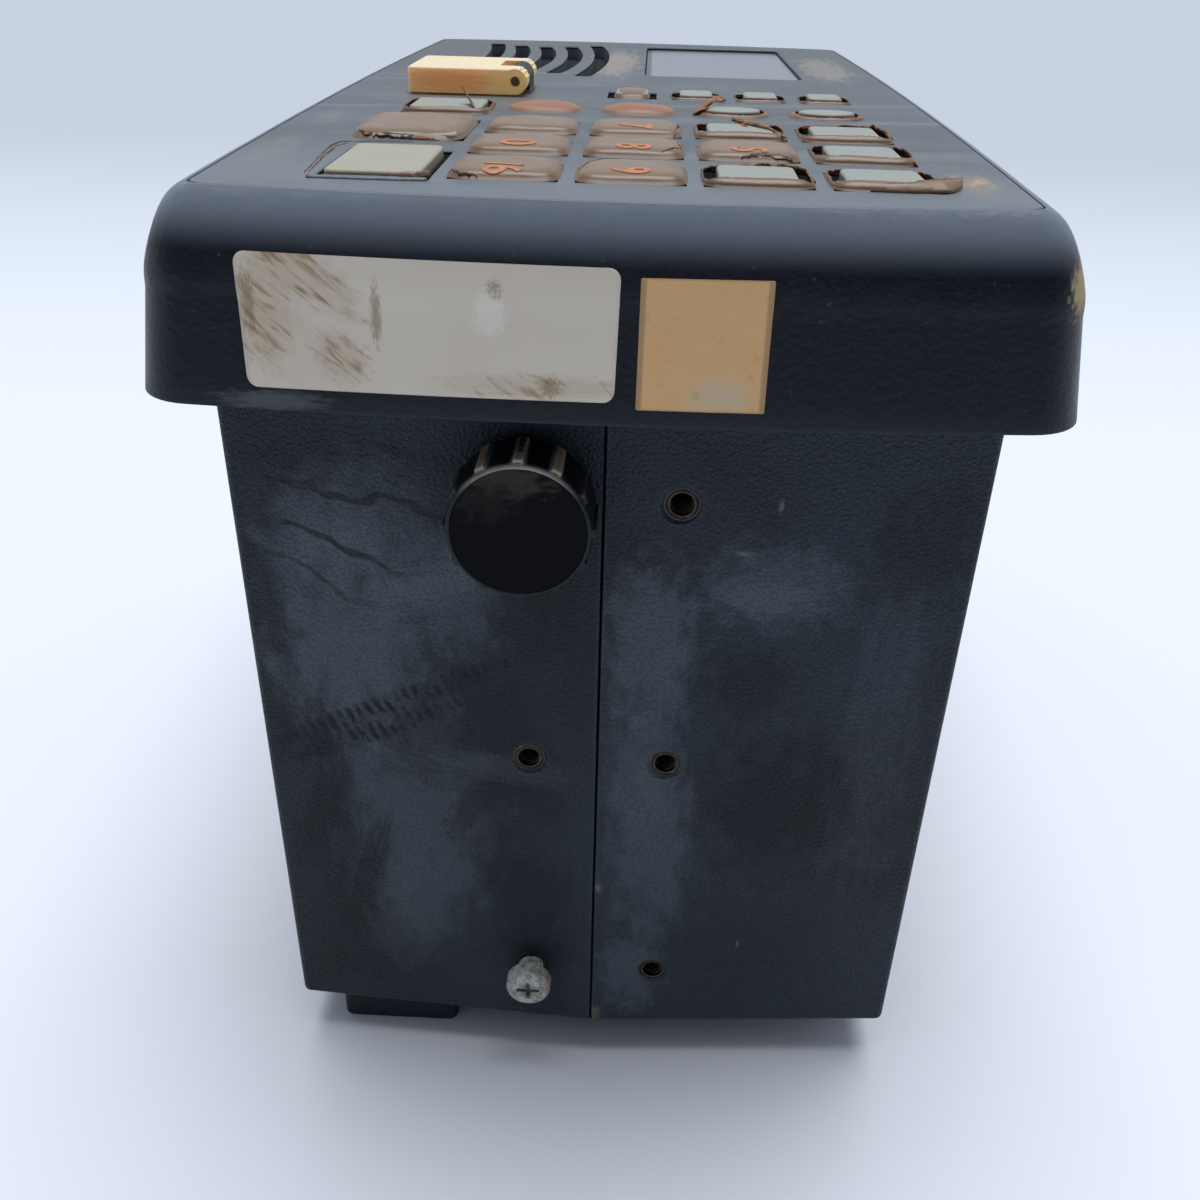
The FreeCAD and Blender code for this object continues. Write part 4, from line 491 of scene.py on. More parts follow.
threads = point_tree("thread_turns", ("Radius", "Pitch", "Length", "Ridge"), thread_turns)
FRONT_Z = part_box("front_overlay")[1].z / MM
SHELL_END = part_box("thread_inserts")[1].y / MM
INSERT_X = 13.0
INSERT_DEPTHS = (49.6, 103.9, 159.5)
insert_places = [(side, end, depth) for end in (-1, 1) for side in (-1, 1)
                 for depth in INSERT_DEPTHS
                 if not (side < 0 and (depth == INSERT_DEPTHS[0] or
                                       (depth == INSERT_DEPTHS[2] and end < 0)))]
grow(threads, "insert_threads",
     [(side * INSERT_X, end * (SHELL_END - 9.2), FRONT_Z - depth)
      for side, end, depth in insert_places],
     [(0, end, 0) for side, end, depth in insert_places],
     {"Radius": 2.12 * MM, "Pitch": 0.8 * MM, "Length": 8.2 * MM, "Ridge": 0.22 * MM},
     brass, "radio_body")


# ------------ Loose screw
# A pan-head screw sits half out of the lowest hole. Its zinc has gone to a pale crust with a
# touch of rust on one side.

crust = Finish("crusted_zinc", (148, 150, 147), 0.6, Metallic=0.35)
crust.mottle((700, 6), 0.42, 0.6, (196, 197, 190), 0.85, 0.8)
crust.mottle((1500, 4), 0.55, 0.66, (84, 86, 82), 0.7, 0.7)
crust.smear(((-8.8, -121, 27), (2.2, 3, 4), 0.7), (132, 92, 52), 0.8, 0.6)
crust.smear(((-13, -123.2, 27.1), (1.6, 0.9, 1.6), 0.5), (58, 58, 54), 0.7, 0.6)
crust.rough_up(900, 5, 0.22)
dress("clamp_screw", crust, 0.15)
screw_low, screw_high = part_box("clamp_screw")
grow(threads, "screw_thread",
     [(-INSERT_X, screw_low.y / MM + 3.4, (screw_low.z + screw_high.z) / 2 / MM)], [(0, 1, 0)],
     {"Radius": 2.42 * MM, "Pitch": 0.8 * MM, "Length": 4.2 * MM, "Ridge": 0.2 * MM},
     crust, "radio_body")


# ------------ Clamp knobs
# Moulded black knobs with twelve grip ribs and an inset cap clamp the radio in its bracket. A tan
# highlight is painted on the ribs at the top, and the rim is rubbed, with a painted highlight on
# its top.

KNOB_HIGHLIGHT_Z = (0.1425, 0.1475)
RIB_RADII, RIM_RADII = (11.85, 12.02), (10.7, 11.1)


def knob_finish(name):
    """Black moulding of one knob, with painted highlights on its ribs and rim at the top."""
    black = Finish(name, (8, 10, 15), 0.42, Specular_IOR_Level=0.2)
    middle = (-INSERT_X * MM, 0, (FRONT_Z - INSERT_DEPTHS[0]) * MM)
    round_place = black.stretched(middle, (MM, 1000, MM))
    far = black.add("VectorMath", {0: round_place}, operation="LENGTH").outputs["Value"]
    upper = black.spread(black.axis("Z"), *KNOB_HIGHLIGHT_Z)
    lit_rib = black.both(black.spread(far, *RIB_RADII), upper)
    mottle = black.spread(black.speckle(260, 4), 0.36, 0.5)
    # painted highlight: tan on the ribs, only at the top of the knob where the light falls
    black.coat(black.both(lit_rib, mottle), (168, 140, 106), 0.7, 0.9)
    rim = black.both(black.spread(far, *RIM_RADII), black.edges(0.9, 0.002, 0.05))
    black.coat(rim, (44, 48, 54), 0.45, 0.5)
    # painted highlight along the top of the rim
    black.coat(black.both(rim, upper), (172, 170, 162), 0.4, 0.85)
    black.mottle((40, 5), 0.5, 0.7, (30, 31, 33), 0.6, 0.4)
    black.rough_up(1100, 2, 0.02)
    return black


cap_black = Finish("cap_black", (7, 9, 15), 0.5, Specular_IOR_Level=0.06)
cap_black.coat(cap_black.patch((-14, -128.8, 146), (5.5, 3, 2.4), 0.8, clouds=2.0),
               (74, 66, 58), 0.75, 0.55)
cap_black.coat(cap_black.patch((-18, -128.8, 142.5), (4, 3, 3.2), 0.9, clouds=2.0), (40, 37, 36),
               0.7, 0.6)
cap_black.mottle((90, 5), 0.55, 0.75, (19, 21, 27), 0.6, 0.5)
cap_black.rough_up(1600, 2, 0.012)
stud_zinc = plain_finish("stud_zinc", (150, 150, 148), 0.35, 1.0,
                         ((300, 4), 0.5, 0.7, (96, 92, 84), 0.55, 0.5), (900, 2, 0.02))
for end_name in ("near", "far"):
    dress(f"{end_name}_knob", knob_finish(f"{end_name}_knob_black"), 0.2)
    dress(f"{end_name}_knob_cap", cap_black, 0.15)
    dress(f"{end_name}_knob_stud", stud_zinc, 0.1)


# ------------ Inner frame and boards
# A folded aluminium frame inside carries the radio board with its tinned cans and the main
# board, which a flat ribbon joins to the keypad board.

frame_metal = Finish("frame_metal", (168, 170, 172), 0.4, Metallic=1.0)
frame_metal.mottle((80, 5), 0.5, 0.7, (120, 121, 120), 0.6, 0.6)
frame_metal.relief(frame_metal.speckle(1, 6, frame_metal.stretched(reach=(0.08, 0.0006, 0.08))),
                   0.02)
dress("chassis_frame", frame_metal, 0.2)
laminate = Finish("laminate", (38, 84, 58), 0.35)
laminate.coat(laminate.spread(laminate.pebbles(240), 0.5, 0.3), (28, 66, 46), 0.4, 0.6)
laminate.mottle((700, 2), 0.64, 0.66, (176, 168, 140), 0.3, 0.6)
laminate.rough_up(600, 2, 0.03)
for board in ("radio_board", "main_board", "keypad_board"):
    dress(board, laminate, 0.1)
tinplate = plain_finish("tinplate", (182, 184, 182), 0.3, 1.0,
                        ((120, 6), 0.5, 0.68, (128, 126, 118), 0.5, 0.5), (200, 3, 0.04))
dress("shield_cans", tinplate, 0.2)
ribbon_grey = Finish("ribbon_grey", (120, 122, 126), 0.5)
strands = ribbon_grey.add("TexWave", {"Vector": ribbon_grey.place, "Scale": 260.0},
                          bands_direction="Y").outputs["Fac"]
ribbon_grey.coat(ribbon_grey.spread(strands, 0.1, 0.0), (88, 90, 94), 0.6)
ribbon_grey.relief(strands, 0.2)
dress("ribbon_cable", ribbon_grey, 0.1)


# ------------ Heat sink
# An extruded black-anodised heat sink covers most of the rear, and the radio stands on its
# fins, which are rubbed to bare metal at their tips.

anodised = Finish("anodised", (24, 25, 28), 0.42, Metallic=0.5)
anodised.mottle((30, 5), 0.5, 0.72, (58, 58, 60), 0.6, 0.5)
anodised.coat(anodised.both(anodised.edges(0.7), anodised.spread(anodised.axis("Z"), 0.003, 0.0)),
              (150, 152, 154), 0.4, 0.7)
anodised.relief(anodised.speckle(1, 5, anodised.stretched(reach=(0.12, 0.0009, 0.12))), 0.03)
dress("heat_sink", anodised, 0.25)


# ------------ Connector plate and sockets
# A recessed plate in the rear holds two threaded aerial sockets, nickel-plated brass, and the
# moulded power socket with its pins.

plate_paint = grained_paint("plate_paint", SHELL_COLOUR, SHELL_DUST)
dress("connector_plate", plate_paint, 0.2)
nickel = plain_finish("nickel", (176, 172, 160), 0.28, 1.0,
                      ((260, 5), 0.48, 0.64, (112, 102, 80), 0.5, 0.6), (1500, 2, 0.015))
dress("aerial_sockets", nickel, 0.12)
bay_low, bay_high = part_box("aerial_sockets")
aerial_y = (bay_low.y + bay_high.y) / 2 / MM
grow(threads, "aerial_threads",
     [(x, aerial_y, bay_low.z / MM + 0.7) for x in (bay_low.x / MM + 11, bay_high.x / MM - 11)],
     [(0, 0, 1), (0, 0, 1)],
     {"Radius": 7.72 * MM, "Pitch": 1.06 * MM, "Length": 12.7 * MM, "Ridge": 0.22 * MM},
     nickel, "radio_body")
socket_black = plain_finish("socket_black", (20, 20, 22), 0.45, 0,
                            ((90, 5), 0.52, 0.7, (48, 48, 48), 0.6, 0.4), (1200, 2, 0.02))
dress("power_socket", socket_black, 0.2)


# ------------ Terminal cover and strip
# A moulded cover along the lower side of the rear hides the screw terminals and is one of the
# feet. Cables leave it through three slots.

cover_black = grained_paint("terminal_cover_black", (19, 22, 28), (44, 48, 54))
dress("terminal_cover", cover_black, 0.35)
strip_cream = plain_finish("strip_cream", (196, 188, 164), 0.5, 0,
                           ((140, 5), 0.5, 0.7, (142, 128, 98), 0.65, 0.6), (900, 2, 0.03))
dress("terminal_strip", strip_cream, 0.2)
screw_zinc = plain_finish("screw_zinc", (158, 156, 148), 0.32, 1.0,
                          ((500, 5), 0.5, 0.66, (104, 92, 70), 0.6, 0.6), (1400, 2, 0.02))
for screws in ("cover_screws", "tie_screws", "keypad_screws"):
    dress(screws, screw_zinc, 0.1)


# ------------ Bezel
# One hood of satin blue-grey plastic with a rounded shoulder and a skirt over the shells. Fine
# orange-peel texture, rubbed edges, a painted reflection of the window along the shoulders, and a
# tan scuff at the right end of the near shoulder.

hood = Finish("bezel_grey", (9, 14, 24), 0.34, Specular_IOR_Level=0.22)
hood.mottle((14, 5, None, 1.0), 0.45, 0.7, (17, 21, 29), 0.42, 0.6)
SHOULDER_SHEEN_Z, LIP_Z, FOOT_Z = (0.1776, 0.1852), (0.1870, 0.1876), (0.1602, 0.1556)
# painted reflection: a pale band down the shoulder from its top, for the bright window seen in it
hood.fade("Z", *SHOULDER_SHEEN_Z, (126, 134, 145), 0.34, 0.85)
hood.fade("Z", *LIP_Z, (22, 26, 33), 0.4)
hood.fade("Z", *FOOT_Z, (36, 42, 50), 0.5, 0.5)
hood.edge_wear_and_highlight(1.0, (66, 73, 82), 0.5, 0.4)
for at, reach, colour in (((-50, -125, 157), (7, 14, 1.4), (82, 86, 90)),
                          ((68.5, -119, 176), (2.0, 5, 3.6), (172, 156, 118)),
                          ((64.5, -118, 178.8), (2.2, 3, 0.4), (10, 12, 16))):
    hood.smear((at, reach, 0.5), colour, 0.66, 0.85)
hood.mottle((900, 2), 0.7, 0.76, (92, 97, 102), 0.6, 0.25)
hood.relief(hood.pebbles(900), -0.03)
hood.rough_up(1050, 2, 0.06)
hood.rough_up(330, 2, 0.02)
dress("front_bezel", hood, 0.2)


# ------------ Front overlay
# A printed polyester foil glued on the bezel's face, with a window for each key. It is scuffed
# grey, with pale bare places where words were, and smears round the display. Painted light makes
# its near end lighter and its far end darker.

foil = Finish("overlay_foil", (86, 93, 99), 0.42, Specular_IOR_Level=0.3)
foil.mottle((22, 6, None, 1.2), 0.42, 0.68, (104, 110, 115), 0.44, 0.6)
foil.coat(foil.spread(foil.speckle(9, 5, foil.stretched(reach=(1, 2.4, 1)), 0.8), 0.5, 0.7),
          (70, 78, 87), 0.34, 0.5)
streaks = foil.speckle(60, 4, foil.stretched(reach=(8, 0.6, 1), turn=(0, 0, radians(8))))
foil.coat(foil.spread(streaks, 0.56, 0.68), (132, 138, 142), 0.42, 0.35)
# painted light: lighter towards the near end and darker towards the far end, for the sheen across
# the foil
foil.fade("Y", -0.07, -0.112, (112, 120, 127), 0.42, 0.8)
foil.fade("Y", 0.0, 0.08, (88, 91, 92), 0.46, 0.6)
foil.edge_wear_and_highlight(0.6, (44, 49, 57), 0.5, 0.5)
FOIL_Z = 186.6
for x, y, wide, long, colour, cover in (
        (-5, 62, 6, 30, (188, 172, 160), 0.4), (52, 60, 6, 26, (180, 168, 154), 0.35),
        (-30, -20, 24, 12, (122, 122, 118), 0.35), (-57, -88, 3.5, 13, (140, 134, 128), 0.3),
        (-57, -52, 2.5, 8, (134, 130, 126), 0.3), (55, -102, 3, 8.5, (150, 132, 108), 0.5)):
    foil.smear(((x, y, FOIL_Z), (wide, long, 4), 0.5), colour, 0.5, cover)
foil.mottle((700, 4), 0.62, 0.7, (150, 152, 152), 0.5, 0.3)
rub = foil.patch((55, -102, FOIL_Z), (3.2, 8, 4), 0.3)
rub_place = foil.stretched(reach=(3, 0.5, 1), turn=(0, 0, radians(62)))
scratches = foil.spread(foil.speckle(180, 4, rub_place), 0.5, 0.58)
foil.coat(foil.both(rub, scratches), (176, 150, 118), 0.55, 0.8)
foil.rough_up(1300, 2, 0.012)
foil.rough_up(70, 3, 0.08)
dress("front_overlay", foil, 0, flat=0)


# ------------ Display
# A clear acrylic window is set into the foil over the pale glass of the display module, which
# is off. A dark band of painted shadow runs along two of the window's edges, where the recess
# throws shade.

clear = Finish("clear_acrylic", (146, 154, 164), 0.2, Transmission_Weight=0.35, IOR=1.49)
clear.mottle((45, 5), 0.5, 0.75, (154, 161, 170), 0.24, 0.5)
window_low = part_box("display_window")[0]
for way, from_edge, wide in (("Y", window_low.y, 0.0034), ("X", window_low.x, 0.0018)):
    # painted shadow along the near and left edges of the window
    shadow_band = clear.spread(clear.axis(way), from_edge + wide, from_edge + wide - 0.0006)
    clear.coat(shadow_band, (52, 57, 64), 0.3, 0.8)
clear.rough_up(60, 2, 0.01)
dress("display_window", clear, 0.3, flat=0.2)
panel_glass = Finish("panel_glass", (140, 148, 158), 0.3)
inside_frame = panel_glass.spread(panel_glass.speckle(30, 3), 0.4, 0.7)
panel_glass.coat(inside_frame, (150, 157, 165), 0.3, 0.6)
panel_glass.rough_up(400, 2, 0.01)
dress("display_module", panel_glass, 0.2)


# ------------ Loudspeaker
# A paper-cone loudspeaker in a pressed metal basket lies under the curved slots. Only the black
# dust felt that covers it is seen from outside.

felt = plain_finish("dust_felt", (16, 16, 18), 0.95, 0,
                    ((900, 4), 0.5, 0.7, (34, 34, 36), 1.0, 0.7), (1600, 4, 0.12))
dress("speaker_felt", felt, 0)
basket_metal = plain_finish("basket_metal", (92, 92, 90), 0.5, 0.8,
                            ((110, 5), 0.5, 0.7, (62, 60, 56), 0.65, 0.6), (500, 2, 0.04))
dress("loudspeaker", basket_metal, 0.2)


# ------------ Key caps and mat
# Each key is a pale silicone cap on a black mat. The caps have yellowed a little, and what lies
# down in the windows is painted dark as shade in the gaps, with some dirt.

def silicone(name, colour, warm):
    """Pale silicone, painted dark as shade and dirt where it goes down into its window."""
    cap = Finish(name, colour, 0.5, Subsurface_Weight=0.25, Subsurface_Scale=0.002)
    cap.mottle((90, 4), 0.4, 0.68, warm, 0.55, 0.6)
    cap.mottle((1200, 4), 0.62, 0.72, (112, 106, 88), 0.65, 0.35)
    # painted shade: below the foil the caps turn near black, for the shadowed gaps round them
    cap.fade("Z", (FRONT_Z - 0.2) * MM, (FRONT_Z - 1.4) * MM, (14, 15, 18), 0.7)
    cap.rough_up(500, 2, 0.03)
    return cap


key_pale = silicone("key_pale", (148, 154, 148), (156, 154, 138))
key_cream = silicone("key_cream", (164, 162, 144), (168, 158, 132))
key_names = [f"square_key_{a}_{b}" for a in (1, 2, 3, 4) for b in (1, 2, 3)]
key_names += [f"{kind}_key_{n}" for kind in ("oval", "small") for n in (1, 2, 3, 4)]
key_names += ["tall_key_1", "tall_key_2", "short_key"]
for key in key_names:
    dress(key, key_cream if key == "tall_key_1" else key_pale, 0.4, segments=3)
dress("distress_key", silicone("distress_red", (176, 62, 40), (190, 78, 50)), 0.4, segments=3)
mat_black = plain_finish("mat_black", (20, 21, 24), 0.7, 0,
                         ((200, 4), 0.5, 0.7, (38, 38, 38), 0.8, 0.5), (800, 2, 0.04))
dress("key_mat", mat_black, 0, flat=0)


# ------------ Distress cover
# A hinged cap of cream plastic, gone yellow, on a steel pin through the bezel's lug. The red
# key's glow through its near wall is painted on, a faint emission stands in for light passing
# through the plastic, and three ridges at the hinge end give a grip.

cover_low, cover_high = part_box("distress_cover")
# painted light: a faint orange emission makes the cap glow though it is no lamp
cream_cap = Finish("cap_cream", (254, 228, 158), 0.38, Subsurface_Weight=0.4,
                   Subsurface_Scale=0.003, Emission_Color=tone(255, 190, 110),
                   Emission_Strength=0.11)
cream_cap.fade("Z", cover_high.z - 0.0012, cover_high.z - 0.0002, (222, 212, 184), 0.42, 0.85)
PAINTED_GLOW_AT = (-39, -17, 189.3)
# painted glow of the red key through the near wall
cream_cap.smear((PAINTED_GLOW_AT, (8.5, 6, 1.9), 0.35), (250, 146, 92), 0.4, 0.95)
cream_cap.smear((PAINTED_GLOW_AT, (10.5, 6, 2.4), 0.35), (250, 186, 124), 0.4, 0.4)
cream_cap.edge_wear_and_highlight(0.8, (226, 202, 136), 0.45, 0.5)
cream_cap.mottle((240, 5), 0.56, 0.7, (216, 186, 126), 0.55, 0.25)
cream_cap.rough_up(700, 2, 0.025)
dress("distress_cover", cream_cap, 0.35, segments=3)


def grip_bar(tree, given):
    """A slim round bar of a radius and length, centred on its point."""
    return add_node(tree, "GeometryNodeMeshCylinder",
                    {"Vertices": 12, "Radius": given["Radius"], "Depth": given["Length"]}
                    ).outputs["Mesh"]


GRIP_LONG, GRIP_INSET = 6.0, 0.4
GRIP_ANGLES = (18, 42, 66)
pin_low, pin_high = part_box("hinge_pin")
pin_x, pin_z = (pin_low.x + pin_high.x) / 2 / MM, (pin_low.z + pin_high.z) / 2 / MM
round_end = cover_high.x / MM - pin_x - 0.15
grip_from_end = GRIP_INSET + GRIP_LONG / 2
grip_places = [(pin_x + round_end * cos(radians(turn)), y, pin_z + round_end * sin(radians(turn)))
               for turn in GRIP_ANGLES
               for y in (cover_low.y / MM + grip_from_end, cover_high.y / MM - grip_from_end)]
grow(point_tree("grip_bars", ("Radius", "Length"), grip_bar), "cover_grips", grip_places,
     [(0, 1, 0)] * len(grip_places), {"Radius": 0.3 * MM, "Length": GRIP_LONG * MM}, cream_cap,
     "flip_cover")
pin_steel = plain_finish("pin_steel", (110, 106, 98), 0.4, 1.0,
                         ((700, 3), 0.5, 0.66, (70, 54, 38), 0.7, 0.6), (1500, 2, 0.02))
dress("hinge_pin", pin_steel, 0.08)


# ------------ Key domes
# Each key lies under an embossed dome of smoky film. Some domes are whole, with their numeral
# printed in orange, and others are torn open and keep a ragged brown lip and loose shreds.

film = Finish("dome_film", (122, 95, 70), 0.32, Subsurface_Weight=0.15, Subsurface_Scale=0.001)
# painted shade on the domes' low walls, darker and browner near the foil
film_wall_shade = film.spread(film.axis("Z"), (FRONT_Z + 1.1) * MM, (FRONT_Z + 0.1) * MM)
film.coat(film_wall_shade, (94, 66, 42), 0.42, 0.75)
film.mottle((60, 5), 0.45, 0.7, (134, 109, 82), 0.42, 0.5)
# painted highlight: the crown of each dome is lighter
film.fade("Z", (FRONT_Z + 1.22) * MM, (FRONT_Z + 1.4) * MM, (150, 128, 102), 0.3, 0.35)
tear_line = film.add("Attribute", attribute_name="tear").outputs["Fac"]
film.coat(film.spread(film.both(tear_line, film.both(film.speckle(400, 3), 0.35), "ADD"),
                      0.85, 1.1), (96, 66, 40), 0.55, 0.9)
stain = film.add("Attribute", attribute_name="stain").outputs["Fac"]
film.coat(film.spread(film.both(stain, film.both(film.speckle(260, 4), 0.5), "ADD"), 0.75, 1.15),
          (164, 108, 56), 0.5, 0.85)
film.coat(film.spread(film.both(stain, film.speckle(300, 4), "ADD"), 1.35, 1.6), (52, 34, 22),
          0.6, 0.8)
film.rough_up(500, 2, 0.03)
glow_film = Finish("oval_film", (152, 102, 70), 0.4, Subsurface_Weight=0.2,
                   Subsurface_Scale=0.001)
glow_film.mottle((110, 4), 0.42, 0.66, (166, 118, 84), 0.45, 0.6)
# painted shade on the oval domes' low walls
glow_film.fade("Z", (FRONT_Z + 0.9) * MM, (FRONT_Z + 0.1) * MM, (112, 84, 64), 0.5, 0.7)
glow_film.rough_up(500, 2, 0.03)

FILM_THICK, INK_THICK = 0.22, 0.05
FILM_LIFT, CRACK_LIFT, INK_LIFT = 0.02, 0.07, 0.11
AROUND = 88


class Dome:
    """An embossed key dome: its middle, half sizes, height and how square it is, in mm."""

    def __init__(self, key, half_x, half_y, high=1.45, power=5.0, steep=9.0, seed=1,
                 shift=(0, 0)):
        low, high_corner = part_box(key)
        self.key = key
        self.middle = ((low.x + high_corner.x) / 2 / MM + shift[0],
                       (low.y + high_corner.y) / 2 / MM + shift[1])
        self.half = (half_x, half_y)
        self.high, self.power, self.steep = high, power, steep
        dice = Random(seed)
        self.waves = [(dice.uniform(0.5, 1.5), dice.uniform(0.5, 1.5), dice.uniform(0, 6.3))
                      for _ in range(3)]

    def rise(self, x, y):
        """Height of the film over the foil at a place counted from the dome's middle."""
        share = (abs(x / self.half[0]) ** self.power +
                 abs(y / self.half[1]) ** self.power) ** (1 / self.power)
        if share >= 1:
            return 0.0
        ripple = sum(sin(a * x * 0.5 + b * y * 0.5 + c) for a, b, c in self.waves) * 0.03
        crown = (1 - share ** self.steep) ** 0.6
        return crown * (self.high + ripple - 0.15 * share * share)

    def rim(self, angle):
        """The place on the dome's foot in one direction."""
        c, s = cos(angle), sin(angle)
        grip = 2 / self.power
        return (self.half[0] * abs(c) ** grip * (1 if c > 0 else -1),
                self.half[1] * abs(s) ** grip * (1 if s > 0 else -1))

    def at(self, x, y, over=0.0):
        """A point in metres on or over the film."""
        return Vector(((self.middle[0] + x) * MM, (self.middle[1] + y) * MM,
                       (FRONT_Z + self.rise(x, y) + over) * MM))

    def give_way(self, piece):
        """Gives a piece on the film a mesh of its own."""
        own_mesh(piece)


def lay_sheet(name, mesh, finish, thick):
    """Adds a mesh as a thin closed piece of the overlay, under its outer face."""
    piece = add_piece(name, mesh, finish, "radio_body")
    modify(piece, "wall", "SOLIDIFY", thickness=thick * MM, offset=-1)
    return piece


def film_sheet(name, mesh, finish, thick):
    """Adds a film mesh as a thin closed piece with its outer face up."""
    if mesh.polygons[len(mesh.polygons) // 2].normal.z < 0:
        mesh.flip_normals()
    return lay_sheet(name, mesh, finish, thick)


def torn_mesh(name, rows, faces):
    """A film mesh of points that each have a share of tear and of stain."""
    points, tears, stains = zip(*rows)
    mesh = make_mesh(name, points, faces)
    for mark, shares in (("tear", tears), ("stain", stains)):
        mesh.attributes.new(mark, "FLOAT", "POINT").data.foreach_set("value", shares)
    return mesh


def grid(rows, columns):
    """Faces between rows of points, of one point more than the columns."""
    wide = columns + 1
    return [(a, a + wide, a + wide + 1, a + 1) for row in range(rows)
            for a in range(row * wide, row * wide + columns)]


def eased(table, angle):
    """The value of a round table of (degrees, value) in one direction, eased between them."""
    degrees = (angle * 180 / pi) % 360
    for (a, first), (b, second) in zip(table, table[1:] + [(table[0][0] + 360, table[0][1])]):
        at = degrees if degrees >= table[0][0] else degrees + 360
        if a <= at <= b:
            share = (at - a) / max(b - a, 0.001)
            share = share * share * (3 - 2 * share)
            return first + (second - first) * share
    return table[0][1]


def form_dome(dome, opening=None, stain=None, ragged=0.035, rings=16, finish=film, seed=3):
    """The film of a dome from its foot inwards, whole or torn open up to a ragged line."""
    dice = Random(seed)
    teeth = [dice.uniform(-1, 1) for _ in range(AROUND)]
    rows, faces = [], []
    for ring in range(rings + 2):
        for step in range(AROUND):
            angle = 2 * pi * step / AROUND
            x, y = dome.rim(angle)
            if ring == 0:
                rows.append((dome.at(x * 1.02, y * 1.02, FILM_LIFT), 0.0, 0.0))
                continue
            stop = eased(opening, angle) + ragged * teeth[step] if opening else 0.02
            part = (ring - 1) / rings
            share = 1 - (1 - min(stop, 0.985)) * part ** 1.15
            rows.append((dome.at(x * share, y * share, FILM_LIFT),
                         part ** 2 if opening else 0.0,
                         eased(stain, angle) * part if stain else 0.0))
    for ring in range(rings + 1):
        for step in range(AROUND):
            after = (step + 1) % AROUND
            faces.append((ring * AROUND + step, ring * AROUND + after,
                          (ring + 1) * AROUND + after, (ring + 1) * AROUND + step))
    if not opening:
        rows.append((dome.at(0, 0, FILM_LIFT), 0.0, 0.0))
        last = (rings + 1) * AROUND
        faces += [(last + step, last + (step + 1) % AROUND, len(rows) - 1)
                  for step in range(AROUND)]
    name = dome.key + "_dome"
    piece = film_sheet(name, torn_mesh(name, rows, faces), finish, FILM_THICK)
    if not opening:
        dome.give_way(piece)


ink = plain_finish("numeral_ink", (198, 124, 78), 0.45, 0,
                   ((500, 4), 0.46, 0.64, (168, 112, 78), 0.5, 0.7), (900, 2, 0.01))

NUMERAL_AT = (-0.4, -4.1)
NUMERAL_HIGH = 8.4


def print_numeral(dome, text, squeeze=1.0):
    """A numeral that follows the dome, read with the radio's top side up."""
    words = bpy.data.curves.new(dome.key + "_words", "FONT")
    words.body, words.size = text, NUMERAL_HIGH
    words.align_x, words.align_y = "CENTER", "CENTER"
    words.offset = 0.18
    sketch = bpy.data.objects.new(dome.key + "_sketch", words)
    scene.collection.objects.link(sketch)
    flat = taken_mesh(sketch)
    fine = bmesh.new()
    fine.from_mesh(flat)
    bmesh.ops.triangulate(fine, faces=fine.faces[:])
    bmesh.ops.subdivide_edges(fine, edges=[e for e in fine.edges if e.calc_length() > 0.9],
                              cuts=3, use_grid_fill=True)
    fine.to_mesh(flat)
    fine.free()
    for vertex in flat.vertices:
        vertex.co = dome.at(NUMERAL_AT[0] + vertex.co.y,
                            NUMERAL_AT[1] - vertex.co.x * squeeze, INK_LIFT)
    dome.give_way(film_sheet(dome.key + "_numeral", flat, ink, INK_THICK))


crack_dark = plain_finish("crack_dark", (40, 26, 18), 0.7, 0,
                          ((700, 4), 0.44, 0.58, (138, 86, 42), 0.6, 0.85), (900, 3, 0.05))


def score(dome, name, path, wide=0.3, seed=5, gives=True):
    """A crack in the film: a thin ragged line that follows the dome."""
    dice = Random(seed)
    points = []
    legs = list(zip(path, path[1:]))
    steps = 7
    for leg, ((ax, ay), (bx, by)) in enumerate(legs):
        long = hypot(bx - ax, by - ay)
        nx, ny = (ay - by) / long, (bx - ax) / long
        for step in range(steps + (leg == len(legs) - 1)):
            share = step / steps
            shift = dice.uniform(-0.12, 0.12)
            x, y = ax + (bx - ax) * share + nx * shift, ay + (by - ay) * share + ny * shift
            ends = min(leg + share, len(legs) - leg - share) / len(legs)
            half = wide * (0.25 + 0.75 * min(1, ends * 3)) * dice.uniform(0.7, 1.3) / 2
            points += [dome.at(x + nx * side, y + ny * side, CRACK_LIFT)
                       for side in (half, -half)]
    faces = [(a, a + 1, a + 3, a + 2) for a in range(0, len(points) - 2, 2)]
    piece = film_sheet(name, make_mesh(name, points, faces), crack_dark, INK_THICK)
    if gives:
        dome.give_way(piece)


SHRED_STEPS, SHRED_ROWS = 30, 5


def along(line, share):
    """A point of a line of (x, y, height over the foil) at a share of its way."""
    at = share * (len(line) - 1)
    leg = min(int(at), len(line) - 2)
    return Vector(line[leg]).lerp(Vector(line[leg + 1]), at - leg)


def shred(name, low_line, high_line, finish=film, rough=0.3, stain=0.0, thick=0.35, seed=1):
    """A torn strip of film from a line at its root to a ragged line at its edge, in mm."""
    dice = Random(seed)
    rows = []
    for step in range(SHRED_STEPS + 1):
        root = along(low_line, step / SHRED_STEPS)
        edge = along(high_line, step / SHRED_STEPS)
        uneven = dice.uniform(-rough, rough)
        for row in range(SHRED_ROWS + 1):
            part = row / SHRED_ROWS
            point = root.lerp(edge, part * (1 + uneven * part))
            point.z += 0.25 * sin(pi * part) + dice.uniform(-0.04, 0.04)
            rows.append(((point.x * MM, point.y * MM, (FRONT_Z + max(point.z, FILM_LIFT)) * MM),
                         part))
    rows = [(point, part, stain * dice.uniform(0.7, 1.2)) for point, part in rows]
    film_sheet(name, torn_mesh(name, rows, grid(SHRED_STEPS, SHRED_ROWS)), finish, thick)


